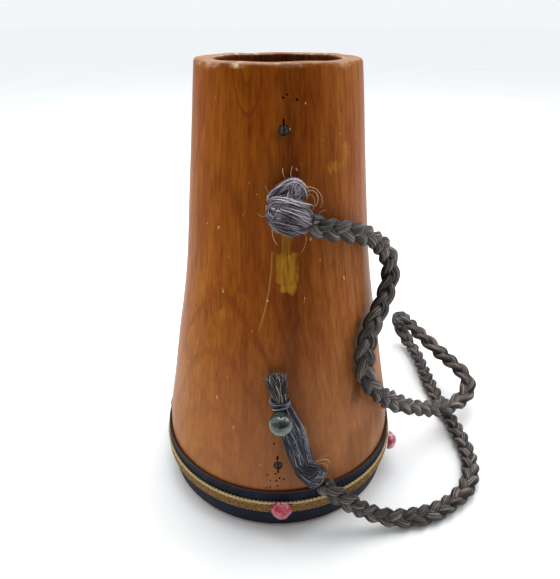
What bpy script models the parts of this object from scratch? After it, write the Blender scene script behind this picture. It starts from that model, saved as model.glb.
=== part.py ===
"""A tall turned wooden cup with a ribbon round its foot and a braided horsehair cord.

The cup is hollowed right through and closed by a round bottom let in from below.  A navy
ribbon and a woven gold trim are wrapped round the foot, with four glass cabochons on the
trim.  Two glass-headed pins hold the two ends of the cord on the front of the cup, and two
old wooden pegs fill older holes.  Metres, +Z up, the cup stands on z = 0 and faces -Y.
"""

import math

import bmesh
import bpy
import numpy as np
from mathutils import Matrix, Vector

# ---- driving dimensions ------------------------------------------------------------------

GAP = 0.0003                    # clearance between pieces that touch

HEIGHT = 0.190
RIM_RADIUS = 0.0312
FOOT_RADIUS = 0.0546            # widest radius, a little above the table
RIM_WALL = 0.0073
FOOT_WALL = 0.0090
RIM_EDGE = 0.0012               # rounding of the worn rim
# height share and flare share (0 at the rim radius, 1 at the foot radius), table to rim
OUTLINE = ((0.0, 0.93), (0.11, 1.0), (0.25, 0.845), (0.40, 0.626), (0.60, 0.345),
           (0.80, 0.176), (1.0, 0.0))
TURN_STEPS = 64

BOTTOM_THICKNESS = 0.0090
BOTTOM_LEDGE = 0.0030           # how far the bottom reaches under the wall's inner edge

RIBBON_LOW = 0.0025
RIBBON_WIDTH = 0.0213
RIBBON_THICKNESS = 0.0007
TRIM_WIDTH = 0.0062
TRIM_RISE = 0.0094              # trim's lower edge above the ribbon's
TRIM_THICKNESS = 0.0008

CABOCHON_RADIUS = 0.0047
CABOCHON_HEIGHT = 0.0040
# where the cabochons are glued, in degrees from the front towards +X
CABOCHONS = (("front", 1.5), ("right", 74.0), ("back", 160.0), ("left", 256.0))

PIN_RADIUS = 0.0007
PIN_BITE = 0.0060               # depth of the shank in the wood
PIN_HEAD_RADIUS = 0.0047
UPPER_PIN_HEIGHT = 0.1405
UPPER_PIN_TURN = 2.5
UPPER_PIN_STANDOFF = 0.0056     # head's centre above the wood
LOWER_PIN_HEIGHT = 0.0640
LOWER_PIN_TURN = 1.0
LOWER_PIN_STANDOFF = 0.0104

PEG_RADIUS = 0.0016
PEG_PROUD = 0.0003
UPPER_PEG_HEIGHT = 0.1695
UPPER_PEG_TURN = 3.5
LOWER_PEG_HEIGHT = 0.0368
LOWER_PEG_TURN = 0.0

CORD_DIAMETER = 0.0075
CORD_SPACING = 0.0088           # between the points of the tube
KNOT_SIZE = (0.0150, 0.0090, 0.0190)
KNOT_HEIGHT = 0.1475
KNOT_TURN = 4.0
TAIL_DIAMETER = 0.0070
WHIPPING_DIAMETER = 0.0084
WHIPPING_LENGTH = 0.0075
HAIR_WRAP_DIAMETER = 0.0074
HAIR_WRAP_LENGTH = 0.0034
BRUSH_DIAMETER = 0.0068
BRUSH_END_SPREAD = 1.35         # how much wider the frayed end is
HAIR_GAP = 0.0008               # between two lengths of hair that meet on a bend
TUBE_RESOLUTION = 2

# The cord's own way in metres: from the knot, round the right side, off the cup and down to
# the table, out and back in a low fold that passes over itself, and round to the front.
CORD_ROUTE = (
    (0.0108, -0.0400, 0.1392), (0.0155, -0.0388, 0.1368), (0.0209, -0.0359, 0.1349),
    (0.0270, -0.0322, 0.1327), (0.0333, -0.0260, 0.1290), (0.0390, -0.0190, 0.1238),
    (0.0440, -0.0140, 0.1175), (0.0472, -0.0120, 0.1110), (0.0477, -0.0127, 0.1043),
    (0.0458, -0.0162, 0.0984), (0.0420, -0.0225, 0.0930), (0.0380, -0.0298, 0.0885),
    (0.0359, -0.0343, 0.0826), (0.0356, -0.0364, 0.0760), (0.0371, -0.0366, 0.0690),
    (0.0412, -0.0343, 0.0616), (0.0480, -0.0291, 0.0525), (0.0562, -0.0219, 0.0435),
    (0.0658, -0.0132, 0.0340), (0.0762, -0.0038, 0.0250), (0.0868, 0.0050, 0.0180),
    (0.0968, 0.0133, 0.0138), (0.1040, 0.0196, 0.0135), (0.1082, 0.0255, 0.0145),
    (0.1092, 0.0320, 0.0163), (0.1070, 0.0378, 0.0184), (0.1025, 0.0433, 0.0207),
    (0.0962, 0.0510, 0.0238), (0.0902, 0.0586, 0.0270), (0.0847, 0.0665, 0.0298),
    (0.0812, 0.0750, 0.0308), (0.0803, 0.0838, 0.0287), (0.0810, 0.0910, 0.0232),
    (0.0828, 0.0952, 0.0164), (0.0855, 0.0945, 0.0100), (0.0882, 0.0897, 0.0059),
    (0.0903, 0.0825, 0.0043), (0.0915, 0.0740, 0.0040), (0.0918, 0.0510, 0.0040),
    (0.0927, 0.0345, 0.0040), (0.0942, 0.0210, 0.0040), (0.0960, 0.0080, 0.0040),
    (0.0971, -0.0045, 0.0040), (0.0969, -0.0160, 0.0040), (0.0945, -0.0265, 0.0040),
    (0.0893, -0.0362, 0.0040), (0.0820, -0.0428, 0.0040), (0.0741, -0.0479, 0.0040),
    (0.0651, -0.0516, 0.0042), (0.0562, -0.0539, 0.0052), (0.0485, -0.0552, 0.0075),
    (0.0418, -0.0560, 0.0107), (0.0356, -0.0565, 0.0146), (0.0300, -0.0569, 0.0191),
    (0.0250, -0.0570, 0.0233), (0.0209, -0.0569, 0.0274), (0.0184, -0.0570, 0.0302),
)
# The unbraided end goes on up the front of the cup: degrees from the front and height.
TAIL_ROUTE = ((16.8, 0.0318), (13.0, 0.0362), (10.4, 0.0409), (8.8, 0.0464), (7.2, 0.0522),
              (5.2, 0.0578), (3.0, 0.0628), (1.4, 0.0668), (0.5, 0.0711), (0.0, 0.0753),
              (-0.5, 0.0798))
TAIL_STANDOFF = 0.0043          # middle of the bundle above the wood

COLOURS = {
    "varnished_wood": ("8C5227", 0.35, 0.0),
    "bottom_wood": ("6E4A2C", 0.60, 0.0),
    "navy_ribbon": ("16243F", 0.75, 0.0),
    "gold_trim": ("9A7328", 0.45, 0.6),
    "red_glass": ("C4475A", 0.12, 0.0),
    "green_glass": ("5F7566", 0.12, 0.0),
    "pin_steel": ("6F6B66", 0.45, 1.0),
    "peg_wood": ("4B443D", 0.70, 0.0),
    "horsehair": ("4A4440", 0.65, 0.0),
}


# ---- small tools -------------------------------------------------------------------------

def smooth_curve(points, values):
    """Natural cubic spline through points, read at values along the straight-line length."""
    points = np.asarray(points, dtype=float)
    steps = np.linalg.norm(np.diff(points, axis=0), axis=1)
    knots = np.concatenate(([0.0], np.cumsum(steps)))
    count = len(points)
    matrix = np.eye(count)
    right = np.zeros_like(points)
    for row in range(1, count - 1):
        before, after = steps[row - 1], steps[row]
        matrix[row, row - 1:row + 2] = before, 2.0 * (before + after), after
        rise = (points[row + 1] - points[row]) / after
        fall = (points[row] - points[row - 1]) / before
        right[row] = 6.0 * (rise - fall)
    second = np.linalg.solve(matrix, right)
    spots = np.asarray(values) * knots[-1]
    piece = np.clip(np.searchsorted(knots, spots, side="right") - 1, 0, count - 2)
    width = steps[piece][:, None]
    left = ((knots[piece + 1] - spots)[:, None]) / width
    here = 1.0 - left
    bend = (left ** 3 - left) * second[piece] + (here ** 3 - here) * second[piece + 1]
    return left * points[piece] + here * points[piece + 1] + bend * width ** 2 / 6.0


def even_points(points, spacing):
    """Points about spacing apart on the smooth curve through points."""
    dense = smooth_curve(points, np.linspace(0.0, 1.0, 1200))
    along = np.concatenate(([0.0], np.cumsum(np.linalg.norm(np.diff(dense, axis=0), axis=1))))
    count = max(3, round(along[-1] / spacing) + 1)
    spots = np.linspace(0.0, along[-1], count)
    return np.column_stack([np.interp(spots, along, dense[:, axis]) for axis in range(3)])


OUTLINE_SHARES = smooth_curve(OUTLINE, np.linspace(0.0, 1.0, 200))


def outer_radius(height):
    """Outside radius of the wood at a height above the table."""
    share = np.interp(height / HEIGHT, OUTLINE_SHARES[:, 0], OUTLINE_SHARES[:, 1])
    return RIM_RADIUS + (FOOT_RADIUS - RIM_RADIUS) * float(share)


def inner_radius(height):
    """Inside radius of the hollow at a height above the table."""
    wall = FOOT_WALL + (RIM_WALL - FOOT_WALL) * height / HEIGHT
    return outer_radius(height) - wall


def on_cup(turn, height, standoff):
    """Point standoff outside the wood, turn degrees from the front towards +X."""
    angle = math.radians(turn)
    radius = outer_radius(height) + standoff
    return Vector((radius * math.sin(angle), -radius * math.cos(angle), height))


def outward(turn):
    """Level direction away from the axis, turn degrees from the front towards +X."""
    angle = math.radians(turn)
    return Vector((math.sin(angle), -math.cos(angle), 0.0))


def linear(channel):
    """One sRGB channel from 0 to 1 as scene-linear light."""
    return channel / 12.92 if channel <= 0.04045 else ((channel + 0.055) / 1.055) ** 2.4


def material(name):
    """The named Principled material, made once."""
    found = bpy.data.materials.get(name)
    if found:
        return found
    colour, roughness, metallic = COLOURS[name]
    made = bpy.data.materials.new(name)
    made.use_nodes = True
    shader = made.node_tree.nodes["Principled BSDF"]
    red, green, blue = (linear(int(colour[i:i + 2], 16) / 255.0) for i in (0, 2, 4))
    shader.inputs["Base Color"].default_value = (red, green, blue, 1.0)
    shader.inputs["Roughness"].default_value = roughness
    shader.inputs["Metallic"].default_value = metallic
    return made


def add_object(name, data, surface, group):
    """Link an object with its material to a collection."""
    obj = bpy.data.objects.new(name, data)
    if surface:
        data.materials.append(material(surface))
    group.objects.link(obj)
    return obj


def mesh_from(name, build):
    """A mesh whose bmesh is filled by build."""
    mesh = bpy.data.meshes.new(name)
    work = bmesh.new()
    build(work)
    work.to_mesh(mesh)
    work.free()
    return mesh


def shade(obj, angle=35.0):
    """Smooth shading that keeps edges sharper than angle degrees."""
    obj.data.shade_smooth()
    obj.data.set_sharp_from_angle(angle=math.radians(angle))


def turned(name, profile, surface, group, steps=TURN_STEPS):
    """A solid turned round Z from a closed profile of (radius, height), outer side first."""
    def build(work):
        corners = [work.verts.new((radius, 0.0, height)) for radius, height in profile]
        for start, end in zip(corners, corners[1:] + corners[:1]):
            work.edges.new((start, end))
    obj = add_object(name, mesh_from(name, build), surface, group)
    screw = obj.modifiers.new("Turn", "SCREW")
    screw.steps = steps
    screw.render_steps = steps
    screw.use_merge_vertices = True
    screw.merge_threshold = 0.00001
    screw.use_smooth_shade = True
    return obj


def corner(middle, radius, start, end, count=4):
    """Points on a quarter arc round middle, from start to end degrees in the profile plane."""
    angles = [math.radians(start + (end - start) * i / count) for i in range(count + 1)]
    return [(middle[0] + radius * math.cos(a), middle[1] + radius * math.sin(a)) for a in angles]


def upright_to(direction):
    """Rotation that turns +Z to direction."""
    return direction.to_track_quat("Z", "Y").to_matrix().to_4x4()


def cylinder(name, radius, start, end, surface, group, segments=20):
    """A round rod between two points."""
    def build(work):
        bmesh.ops.create_cone(work, cap_ends=True, segments=segments, radius1=radius,
                              radius2=radius, depth=(end - start).length)
    obj = add_object(name, mesh_from(name, build), surface, group)
    obj.matrix_world = Matrix.Translation((start + end) / 2.0) @ upright_to(end - start)
    return obj


def ball(name, size, surface, group, segments=24, rings=14):
    """A ball or an egg of the given width, depth and height."""
    def build(work):
        bmesh.ops.create_uvsphere(work, u_segments=segments, v_segments=rings, radius=0.5)
        bmesh.ops.scale(work, vec=size, verts=work.verts)
    return add_object(name, mesh_from(name, build), surface, group)


def tube(name, points, diameter, surface, group, widths=None):
    """A round tube with filled caps along points."""
    curve = bpy.data.curves.new(name, "CURVE")
    curve.dimensions = "3D"
    curve.bevel_depth = diameter / 2.0
    curve.bevel_resolution = TUBE_RESOLUTION
    curve.use_fill_caps = True
    spline = curve.splines.new("POLY")
    spline.points.add(len(points) - 1)
    for index, point in enumerate(points):
        spline.points[index].co = (*point, 1.0)
        spline.points[index].radius = widths[index] if widths else 1.0
    return add_object(name, curve, surface, group)


def as_mesh(obj):
    """The curve object as a mesh object with welded caps."""
    seen = obj.evaluated_get(bpy.context.evaluated_depsgraph_get())
    mesh = bpy.data.meshes.new_from_object(seen)
    work = bmesh.new()
    work.from_mesh(mesh)
    bmesh.ops.remove_doubles(work, verts=work.verts, dist=0.00001)
    work.to_mesh(mesh)
    work.free()
    name, group, place = obj.name, obj.users_collection[0], obj.matrix_world.copy()
    bpy.data.objects.remove(obj)
    made = bpy.data.objects.new(name, mesh)
    made.matrix_world = place
    group.objects.link(made)
    return made


def cut(obj, *cutters):
    """Take the cutters away from obj."""
    for cutter in cutters:
        cutter.hide_render = True
        cutter.display_type = "WIRE"
        step = obj.modifiers.new(cutter.name, "BOOLEAN")
        step.operation = "DIFFERENCE"
        step.solver = "EXACT"
        step.object = cutter


# ---- the cup and its bottom --------------------------------------------------------------

def bottom_radius():
    """Radius of the let-in bottom."""
    return inner_radius(BOTTOM_THICKNESS) + BOTTOM_LEDGE


def make_cup(parts):
    """The hollowed body, open at the top and rebated below for the bottom."""
    seat = BOTTOM_THICKNESS + GAP
    edge = RIM_EDGE
    inside = inner_radius(HEIGHT)
    heights = np.linspace(HEIGHT - edge, edge, 22)
    outside = [(outer_radius(z), z) for z in heights]
    foot = outer_radius(0.0)
    hollow = [(inner_radius(z), z) for z in np.linspace(seat, HEIGHT - edge, 14)]
    profile = corner((outer_radius(HEIGHT) - edge, HEIGHT - edge), edge, 90, 0)[:-1]
    profile += outside
    profile += [(foot - edge / 2.0, 0.0), (bottom_radius() + GAP, 0.0),
                (bottom_radius() + GAP, seat)]
    profile += hollow[:-1]
    profile += corner((inside + edge, HEIGHT - edge), edge, 180, 90)
    return turned("cup_body", profile, "varnished_wood", parts)


def make_bottom(parts):
    """The round bottom, let in flush with the foot."""
    edge = 0.0005
    radius = bottom_radius()
    top = BOTTOM_THICKNESS
    profile = [(0.0, top), (radius - edge, top), (radius, top - edge), (radius, edge),
               (radius - edge, 0.0), (0.0, 0.0)]
    return turned("base_disc", profile, "bottom_wood", parts)


# ---- the band round the foot -------------------------------------------------------------

def wrapped(name, low, width, inner_gap, thickness, surface, parts):
    """A flat band wrapped round the foot, inner_gap outside the wood."""
    heights = np.linspace(low + width, low, 7)
    outside = [(outer_radius(z) + inner_gap + thickness, z) for z in heights]
    inside = [(outer_radius(z) + inner_gap, z) for z in reversed(heights)]
    return turned(name, outside + inside, surface, parts)


def make_band(parts):
    """The navy ribbon with the gold trim on it."""
    wrapped("ribbon_band", RIBBON_LOW, RIBBON_WIDTH, GAP, RIBBON_THICKNESS, "navy_ribbon",
            parts)
    wrapped("gold_trim", RIBBON_LOW + TRIM_RISE, TRIM_WIDTH, 2.0 * GAP + RIBBON_THICKNESS,
            TRIM_THICKNESS, "gold_trim", parts)


def make_cabochons(parts):
    """Four glass domes, unevenly spaced on the trim."""
    height = RIBBON_LOW + TRIM_RISE + TRIM_WIDTH / 2.0
    trim_outside = 2.0 * GAP + RIBBON_THICKNESS + TRIM_THICKNESS
    low_edge = outer_radius(height + CABOCHON_RADIUS) - outer_radius(height)
    high_edge = outer_radius(height - CABOCHON_RADIUS) - outer_radius(height)
    standoff = trim_outside + GAP + max(0.0, low_edge, high_edge)
    rows = 6
    angles = [math.pi / 2.0 * i / rows for i in range(rows + 1)]
    dome = [(CABOCHON_RADIUS * math.sin(a), CABOCHON_HEIGHT * math.cos(a)) for a in angles]
    dome[0] = (0.0, CABOCHON_HEIGHT)
    for place, turn in CABOCHONS:
        obj = turned("cabochon_" + place, dome + [(0.0, 0.0)], "red_glass", parts, 24)
        spot = Matrix.Translation(on_cup(turn, height, standoff))
        obj.matrix_world = spot @ upright_to(outward(turn))


# ---- pins and pegs -----------------------------------------------------------------------

def make_pin(label, turn, height, standoff, parts, cutters):
    """A steel shank with a glass head, and the cutters that clear them."""
    middle = on_cup(turn, height, standoff)
    tip = on_cup(turn, height, -PIN_BITE)
    cylinder(label + "_pin_shank", PIN_RADIUS, tip, middle, "pin_steel", parts, 12)
    head = ball(label + "_pin_head", (2.0 * PIN_HEAD_RADIUS,) * 3, "green_glass", parts)
    head.matrix_world = Matrix.Translation(middle) @ upright_to(outward(turn))
    beyond = on_cup(turn, height, -PIN_BITE - GAP)
    end = middle + outward(turn) * GAP
    hole = cylinder(label + "_pin_hole", PIN_RADIUS + GAP, beyond, end, None, cutters, 12)
    room = ball(label + "_pin_room", (2.0 * (PIN_HEAD_RADIUS + GAP),) * 3, None, cutters)
    room.matrix_world = head.matrix_world.copy()
    cut(head, hole)
    return hole, room


def make_peg(label, turn, height, parts, cutters):
    """An old wooden peg through the wall, and its hole."""
    wall = outer_radius(height) - inner_radius(height)
    outside = on_cup(turn, height, PEG_PROUD)
    inside = on_cup(turn, height, -wall)
    cylinder(label + "_peg", PEG_RADIUS, inside, outside, "peg_wood", parts, 16)
    past = on_cup(turn, height, wall)
    deep = on_cup(turn, height, -2.0 * wall)
    return cylinder(label + "_peg_hole", PEG_RADIUS + GAP, deep, past, None, cutters, 16)


# ---- the cord ----------------------------------------------------------------------------

def make_knot(parts):
    """The lump of the cord's upper knot."""
    knot = ball("upper_knot", KNOT_SIZE, "horsehair", parts)
    spot = on_cup(KNOT_TURN, KNOT_HEIGHT, KNOT_SIZE[1] / 2.0 + 2.0 * GAP)
    lean = outer_radius(KNOT_HEIGHT - KNOT_SIZE[2] / 2.0) - outer_radius(
        KNOT_HEIGHT + KNOT_SIZE[2] / 2.0)
    tilt = Matrix.Rotation(-math.atan2(lean, KNOT_SIZE[2]), 4, "X")
    turn = Matrix.Rotation(math.radians(KNOT_TURN), 4, "Z")
    knot.matrix_world = Matrix.Translation(spot) @ turn @ tilt
    return knot


def make_tail(parts):
    """Whipping, loose bundle, hair wrap and frayed end, one after another up the cup."""
    route = [on_cup(turn, height, TAIL_STANDOFF) for turn, height in TAIL_ROUTE]
    line = even_points(route, 0.0004)
    along = np.concatenate(([0.0], np.cumsum(np.linalg.norm(np.diff(line, axis=0), axis=1))))
    pin_spot = on_cup(LOWER_PIN_TURN, LOWER_PIN_HEIGHT, TAIL_STANDOFF)
    at_pin = along[np.linalg.norm(line - np.array(pin_spot), axis=1).argmin()]
    wrap_start = at_pin + PIN_HEAD_RADIUS
    wrap_end = wrap_start + HAIR_WRAP_LENGTH
    pieces = (
        ("whipping", WHIPPING_DIAMETER, GAP, WHIPPING_LENGTH, 5),
        ("cord_tail", TAIL_DIAMETER, WHIPPING_LENGTH + HAIR_GAP, wrap_start, 12),
        ("hair_wrap", HAIR_WRAP_DIAMETER, wrap_start + HAIR_GAP, wrap_end, 3),
        ("brush_end", BRUSH_DIAMETER, wrap_end + HAIR_GAP, along[-1], 6),
    )
    made = {}
    for name, diameter, start, end, count in pieces:
        spots = np.linspace(start, end, count)
        points = np.column_stack([np.interp(spots, along, line[:, axis]) for axis in range(3)])
        if name == "brush_end":
            widths = list(np.linspace(1.0, BRUSH_END_SPREAD, count))
        else:
            widths = None
        spread = diameter / 2.0 * (widths[-1] if widths else 1.0)
        lift = max(0.0, spread + GAP - TAIL_STANDOFF)
        for point in points:
            flat = Vector((point[0], point[1], 0.0)).normalized() * lift
            point += np.array(flat)
        made[name] = as_mesh(tube(name, points, diameter, "horsehair", parts, widths))
    return made


def make_cord(parts):
    """The braided cord as one round tube."""
    points = even_points(CORD_ROUTE, CORD_SPACING)
    return tube("cord_braid", points, CORD_DIAMETER, "horsehair", parts)


# ---- the whole object --------------------------------------------------------------------

def main():
    for obj in list(bpy.data.objects):
        bpy.data.objects.remove(obj)
    parts = bpy.data.collections.new("wooden_cup")
    cutters = bpy.data.collections.new("cutters")
    bpy.context.scene.collection.children.link(parts)
    bpy.context.scene.collection.children.link(cutters)

    cup = make_cup(parts)
    make_bottom(parts)
    make_band(parts)
    make_cabochons(parts)
    knot = make_knot(parts)
    tail = make_tail(parts)
    make_cord(parts)

    upper_hole, upper_room = make_pin("upper", UPPER_PIN_TURN, UPPER_PIN_HEIGHT,
                                      UPPER_PIN_STANDOFF, parts, cutters)
    lower_hole, lower_room = make_pin("lower", LOWER_PIN_TURN, LOWER_PIN_HEIGHT,
                                      LOWER_PIN_STANDOFF, parts, cutters)
    upper_peg_hole = make_peg("upper", UPPER_PEG_TURN, UPPER_PEG_HEIGHT, parts, cutters)
    lower_peg_hole = make_peg("lower", LOWER_PEG_TURN, LOWER_PEG_HEIGHT, parts, cutters)
    cut(cup, upper_hole, lower_hole, upper_peg_hole, lower_peg_hole)
    cut(knot, upper_room, upper_hole)
    cut(tail["cord_tail"], lower_room, lower_hole)
    cut(tail["hair_wrap"], lower_room)
    cut(tail["brush_end"], lower_room)

    for obj in parts.objects:
        if obj.type == "MESH":
            shade(obj)


main()
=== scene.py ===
import math

import bpy
import numpy as np
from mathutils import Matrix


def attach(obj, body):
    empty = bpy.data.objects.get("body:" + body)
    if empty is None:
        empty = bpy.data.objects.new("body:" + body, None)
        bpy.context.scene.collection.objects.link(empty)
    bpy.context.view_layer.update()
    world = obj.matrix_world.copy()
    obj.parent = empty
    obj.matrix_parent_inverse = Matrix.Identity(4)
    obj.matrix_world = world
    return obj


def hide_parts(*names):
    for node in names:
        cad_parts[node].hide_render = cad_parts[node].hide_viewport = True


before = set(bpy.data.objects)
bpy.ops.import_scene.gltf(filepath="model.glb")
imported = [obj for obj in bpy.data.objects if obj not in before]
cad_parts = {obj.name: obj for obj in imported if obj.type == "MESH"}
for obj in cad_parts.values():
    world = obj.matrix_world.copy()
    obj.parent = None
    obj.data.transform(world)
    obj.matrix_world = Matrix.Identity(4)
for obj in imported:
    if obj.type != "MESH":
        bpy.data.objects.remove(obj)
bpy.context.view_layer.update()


# ---- camera -------------------------------------------------------------------------------
# The cup is seen from close by, a little above its rim and tilted down to its foot.

camera = bpy.data.cameras.new("camera")
camera.sensor_width = 36.0
camera.lens = 32.33
camera.clip_start = 0.01
viewer = bpy.data.objects.new("camera", camera)
viewer.location = (0.00076, -0.21157, 0.20300)
viewer.rotation_euler = (math.radians(62.305), 0.0, 0.0)
bpy.context.scene.collection.objects.link(viewer)
bpy.context.scene.camera = viewer
bpy.context.scene.view_settings.view_transform = "Standard"


# ---- the hollowed cup ---------------------------------------------------------------------
# One billet of straight-grained birch, turned on a lathe outside and bored right through,
# then varnished.  The varnish is honey brown and glossy where the light grazes it, worn off
# at the rim, and old beetle holes, two pin holes and two peg holes go into the front.

CLEARANCE = 0.0003
CUP_HEIGHT = 0.190
RIM_RADIUS = 0.0312
FOOT_RADIUS = 0.0546
RIM_WALL = 0.0073
FOOT_WALL = 0.0090
RIM_ROUNDING = 0.0012
FLARE = ((0.0, 0.93), (0.11, 1.0), (0.25, 0.845), (0.40, 0.626), (0.60, 0.345),
         (0.80, 0.176), (1.0, 0.0))
BOARD_THICKNESS = 0.0090
BOARD_LEDGE = 0.0030


def smooth_curve(points, values):
    """Natural cubic spline through points, read at values from 0 to 1 along their length.

    Between two points it is the straight line plus a cubic that has the spline's second
    derivatives at both ends; those come from one linear system for the whole curve.
    """
    points = np.asarray(points, dtype=float)
    steps = np.linalg.norm(np.diff(points, axis=0), axis=1)
    knots = np.concatenate(([0.0], np.cumsum(steps)))
    count = len(points)
    inner = np.arange(1, count - 1)
    matrix = np.eye(count)
    matrix[inner, inner - 1] = steps[:-1]
    matrix[inner, inner] = 2.0 * (steps[:-1] + steps[1:])
    matrix[inner, inner + 1] = steps[1:]
    slopes = np.diff(points, axis=0) / steps[:, None]
    right = np.zeros_like(points)
    right[1:-1] = 6.0 * np.diff(slopes, axis=0)
    second = np.linalg.solve(matrix, right)
    spots = np.asarray(values) * knots[-1]
    piece = np.clip(np.searchsorted(knots, spots, side="right") - 1, 0, count - 2)
    width = steps[piece][:, None]
    left = (knots[piece + 1] - spots)[:, None] / width
    here = 1.0 - left
    bend = (left ** 3 - left) * second[piece] + (here ** 3 - here) * second[piece + 1]
    return left * points[piece] + here * points[piece + 1] + bend * width ** 2 / 6.0


FLARE_CURVE = smooth_curve(FLARE, np.linspace(0.0, 1.0, 400))


def outside_radius(height):
    """Outside radius of the wood: the rim's radius plus the flare's share of the difference."""
    share = np.interp(np.asarray(height) / CUP_HEIGHT, FLARE_CURVE[:, 0], FLARE_CURVE[:, 1])
    return RIM_RADIUS + (FOOT_RADIUS - RIM_RADIUS) * share


def inside_radius(height):
    """Outside radius less a wall that thins evenly from the foot to the rim."""
    height = np.asarray(height)
    return outside_radius(height) - FOOT_WALL + (FOOT_WALL - RIM_WALL) * height / CUP_HEIGHT


def on_cup(turn, height, standoff):
    """Points standoff outside the wood, turn degrees from the front towards +X."""
    angle = np.radians(turn)
    radius = outside_radius(height) + standoff
    return np.stack(np.broadcast_arrays(radius * np.sin(angle), -radius * np.cos(angle),
                                        np.asarray(height, dtype=float)), axis=-1)


def unit(vectors):
    """Vectors divided by their own lengths."""
    return vectors / np.linalg.norm(vectors, axis=-1, keepdims=True)


def ease(values, start, end):
    """0 before start, 1 after end, and 3t^2 - 2t^3 between them."""
    share = np.clip((np.asarray(values, dtype=float) - start) / (end - start), 0.0, 1.0)
    return share * share * (3.0 - 2.0 * share)


def grid_quads(rows, columns, rows_meet=False):
    """Corner numbers of the quads of a grid whose columns go round and meet.

    Quad (i, j) has corners (i, j), (i, j+1), (i+1, j+1), (i+1, j), so it faces outwards
    where columns go anticlockwise round the direction in which rows go on.
    """
    row = np.arange(rows if rows_meet else rows - 1)[:, None]
    column = np.arange(columns)[None, :]
    after = (column + 1) % columns
    above = (row + 1) % rows
    corners = (row * columns + column, row * columns + after,
               above * columns + after, above * columns + column)
    return np.stack(np.broadcast_arrays(*corners), axis=-1).reshape(-1, 4)


def grid_uv(rows, columns, u, v, rows_meet=False):
    """Corner coordinates for grid_quads from u for columns + 1 lines and v for each row."""
    row = np.arange(rows if rows_meet else rows - 1)[:, None]
    column = np.arange(columns)[None, :]
    above = (row + 1) % rows
    sides = (column, column + 1, column + 1, column)
    levels = (row, row, above, above)
    pairs = [np.stack(np.broadcast_arrays(u[side], v[level]), axis=-1)
             for side, level in zip(sides, levels)]
    return np.stack(pairs, axis=2).reshape(-1, 2)


def make_piece(name, points, quads, triangles=None, uv=None, **values):
    """A mesh object from arrays: quads first, then triangles, and one value per point."""
    mesh = bpy.data.meshes.new(name)
    mesh.vertices.add(len(points))
    mesh.vertices.foreach_set("co", np.ascontiguousarray(points, dtype=np.float32).ravel())
    corners = quads.ravel()
    starts = np.arange(len(quads)) * 4
    if triangles is not None:
        starts = np.concatenate((starts, len(corners) + np.arange(len(triangles)) * 3))
        corners = np.concatenate((corners, triangles.ravel()))
    mesh.loops.add(len(corners))
    mesh.loops.foreach_set("vertex_index", corners.astype(np.int32))
    mesh.polygons.add(len(starts))
    mesh.polygons.foreach_set("loop_start", starts.astype(np.int32))
    mesh.update(calc_edges=True)
    if uv is not None:
        layer = mesh.uv_layers.new(name="lay")
        layer.data.foreach_set("uv", np.ascontiguousarray(uv, dtype=np.float32).ravel())
    for key, value in values.items():
        kind = "FLOAT_VECTOR" if value.ndim == 2 else "FLOAT"
        slot = mesh.attributes.new(key, kind, "POINT")
        slot.data.foreach_set("vector" if value.ndim == 2 else "value",
                              np.ascontiguousarray(value, dtype=np.float32).ravel())
    mesh.shade_smooth()
    piece = bpy.data.objects.new(name, mesh)
    bpy.context.scene.collection.objects.link(piece)
    return piece


def closed_tubes(rings):
    """Points, quads and end triangles of k closed tubes from rings[k, n, m, 3].

    Each tube has n rings of m points and a middle point in either end.
    """
    count, rows, columns, _ = rings.shape
    middles = rings[:, (0, -1)].mean(axis=2)
    points = np.concatenate((rings.reshape(count, rows * columns, 3), middles), axis=1)
    each = rows * columns + 2
    column = np.arange(columns)
    after = (column + 1) % columns
    last = (rows - 1) * columns
    first_cap = np.stack((np.full(columns, each - 2), after, column), axis=1)
    last_cap = np.stack((np.full(columns, each - 1), last + column, last + after), axis=1)
    shift = (np.arange(count) * each)[:, None, None]
    quads = (grid_quads(rows, columns)[None] + shift).reshape(-1, 4)
    triangles = (np.concatenate((first_cap, last_cap))[None] + shift).reshape(-1, 3)
    return points.reshape(-1, 3), quads, triangles


def hex_colour(text):
    """Scene-linear colour of an sRGB hex value."""
    channels = np.array([int(text[i:i + 2], 16) for i in (0, 2, 4)]) / 255.0
    low = channels / 12.92
    high = ((channels + 0.055) / 1.055) ** 2.4
    return (*np.where(channels <= 0.04045, low, high).tolist(), 1.0)


def add_node(tree, kind, inputs=None, stops=None, out=None, **settings):
    """One node; an input is a socket to link or a value to set.

    Gives back the output named by out, or else the first one in use.
    """
    node = tree.nodes.new("ShaderNode" + kind)
    for key, value in settings.items():
        setattr(node, key, value)
    for key, value in (inputs or {}).items():
        if isinstance(value, bpy.types.NodeSocket):
            tree.links.new(value, node.inputs[key])
        else:
            node.inputs[key].default_value = value
    if stops:
        ramp = node.color_ramp.elements
        while len(ramp) < len(stops):
            ramp.new(1.0)
        for element, (place, shade) in zip(ramp, stops):
            element.position = place
            element.color = hex_colour(shade)
    if out is not None:
        return node.outputs[out]
    return next(socket for socket in node.outputs if socket.enabled)


def stretched_noise(tree, place, scale, detail, roughness=0.5, **turned):
    """Noise with scale cells to the metre along each axis."""
    mapped = add_node(tree, "Mapping", {"Vector": place, "Scale": scale, **turned})
    return add_node(tree, "TexNoise", {
        "Vector": mapped, "Scale": 1.0, "Detail": detail, "Roughness": roughness})


def all_of(tree, *shares):
    """The product of several shares, each a socket or a number."""
    whole = shares[0]
    for share in shares[1:]:
        whole = add_node(tree, "Math", {0: whole, 1: share}, operation="MULTIPLY")
    return whole


def layered(tree, colour, *layers, blend="MIX"):
    """The colour with layers over it in their order, each a share and a colour."""
    for share, above in layers:
        above = hex_colour(above) if isinstance(above, str) else above
        colour = add_node(tree, "Mix", {0: share, 6: colour, 7: above},
                          data_type="RGBA", blend_type=blend)
    return colour


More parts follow.
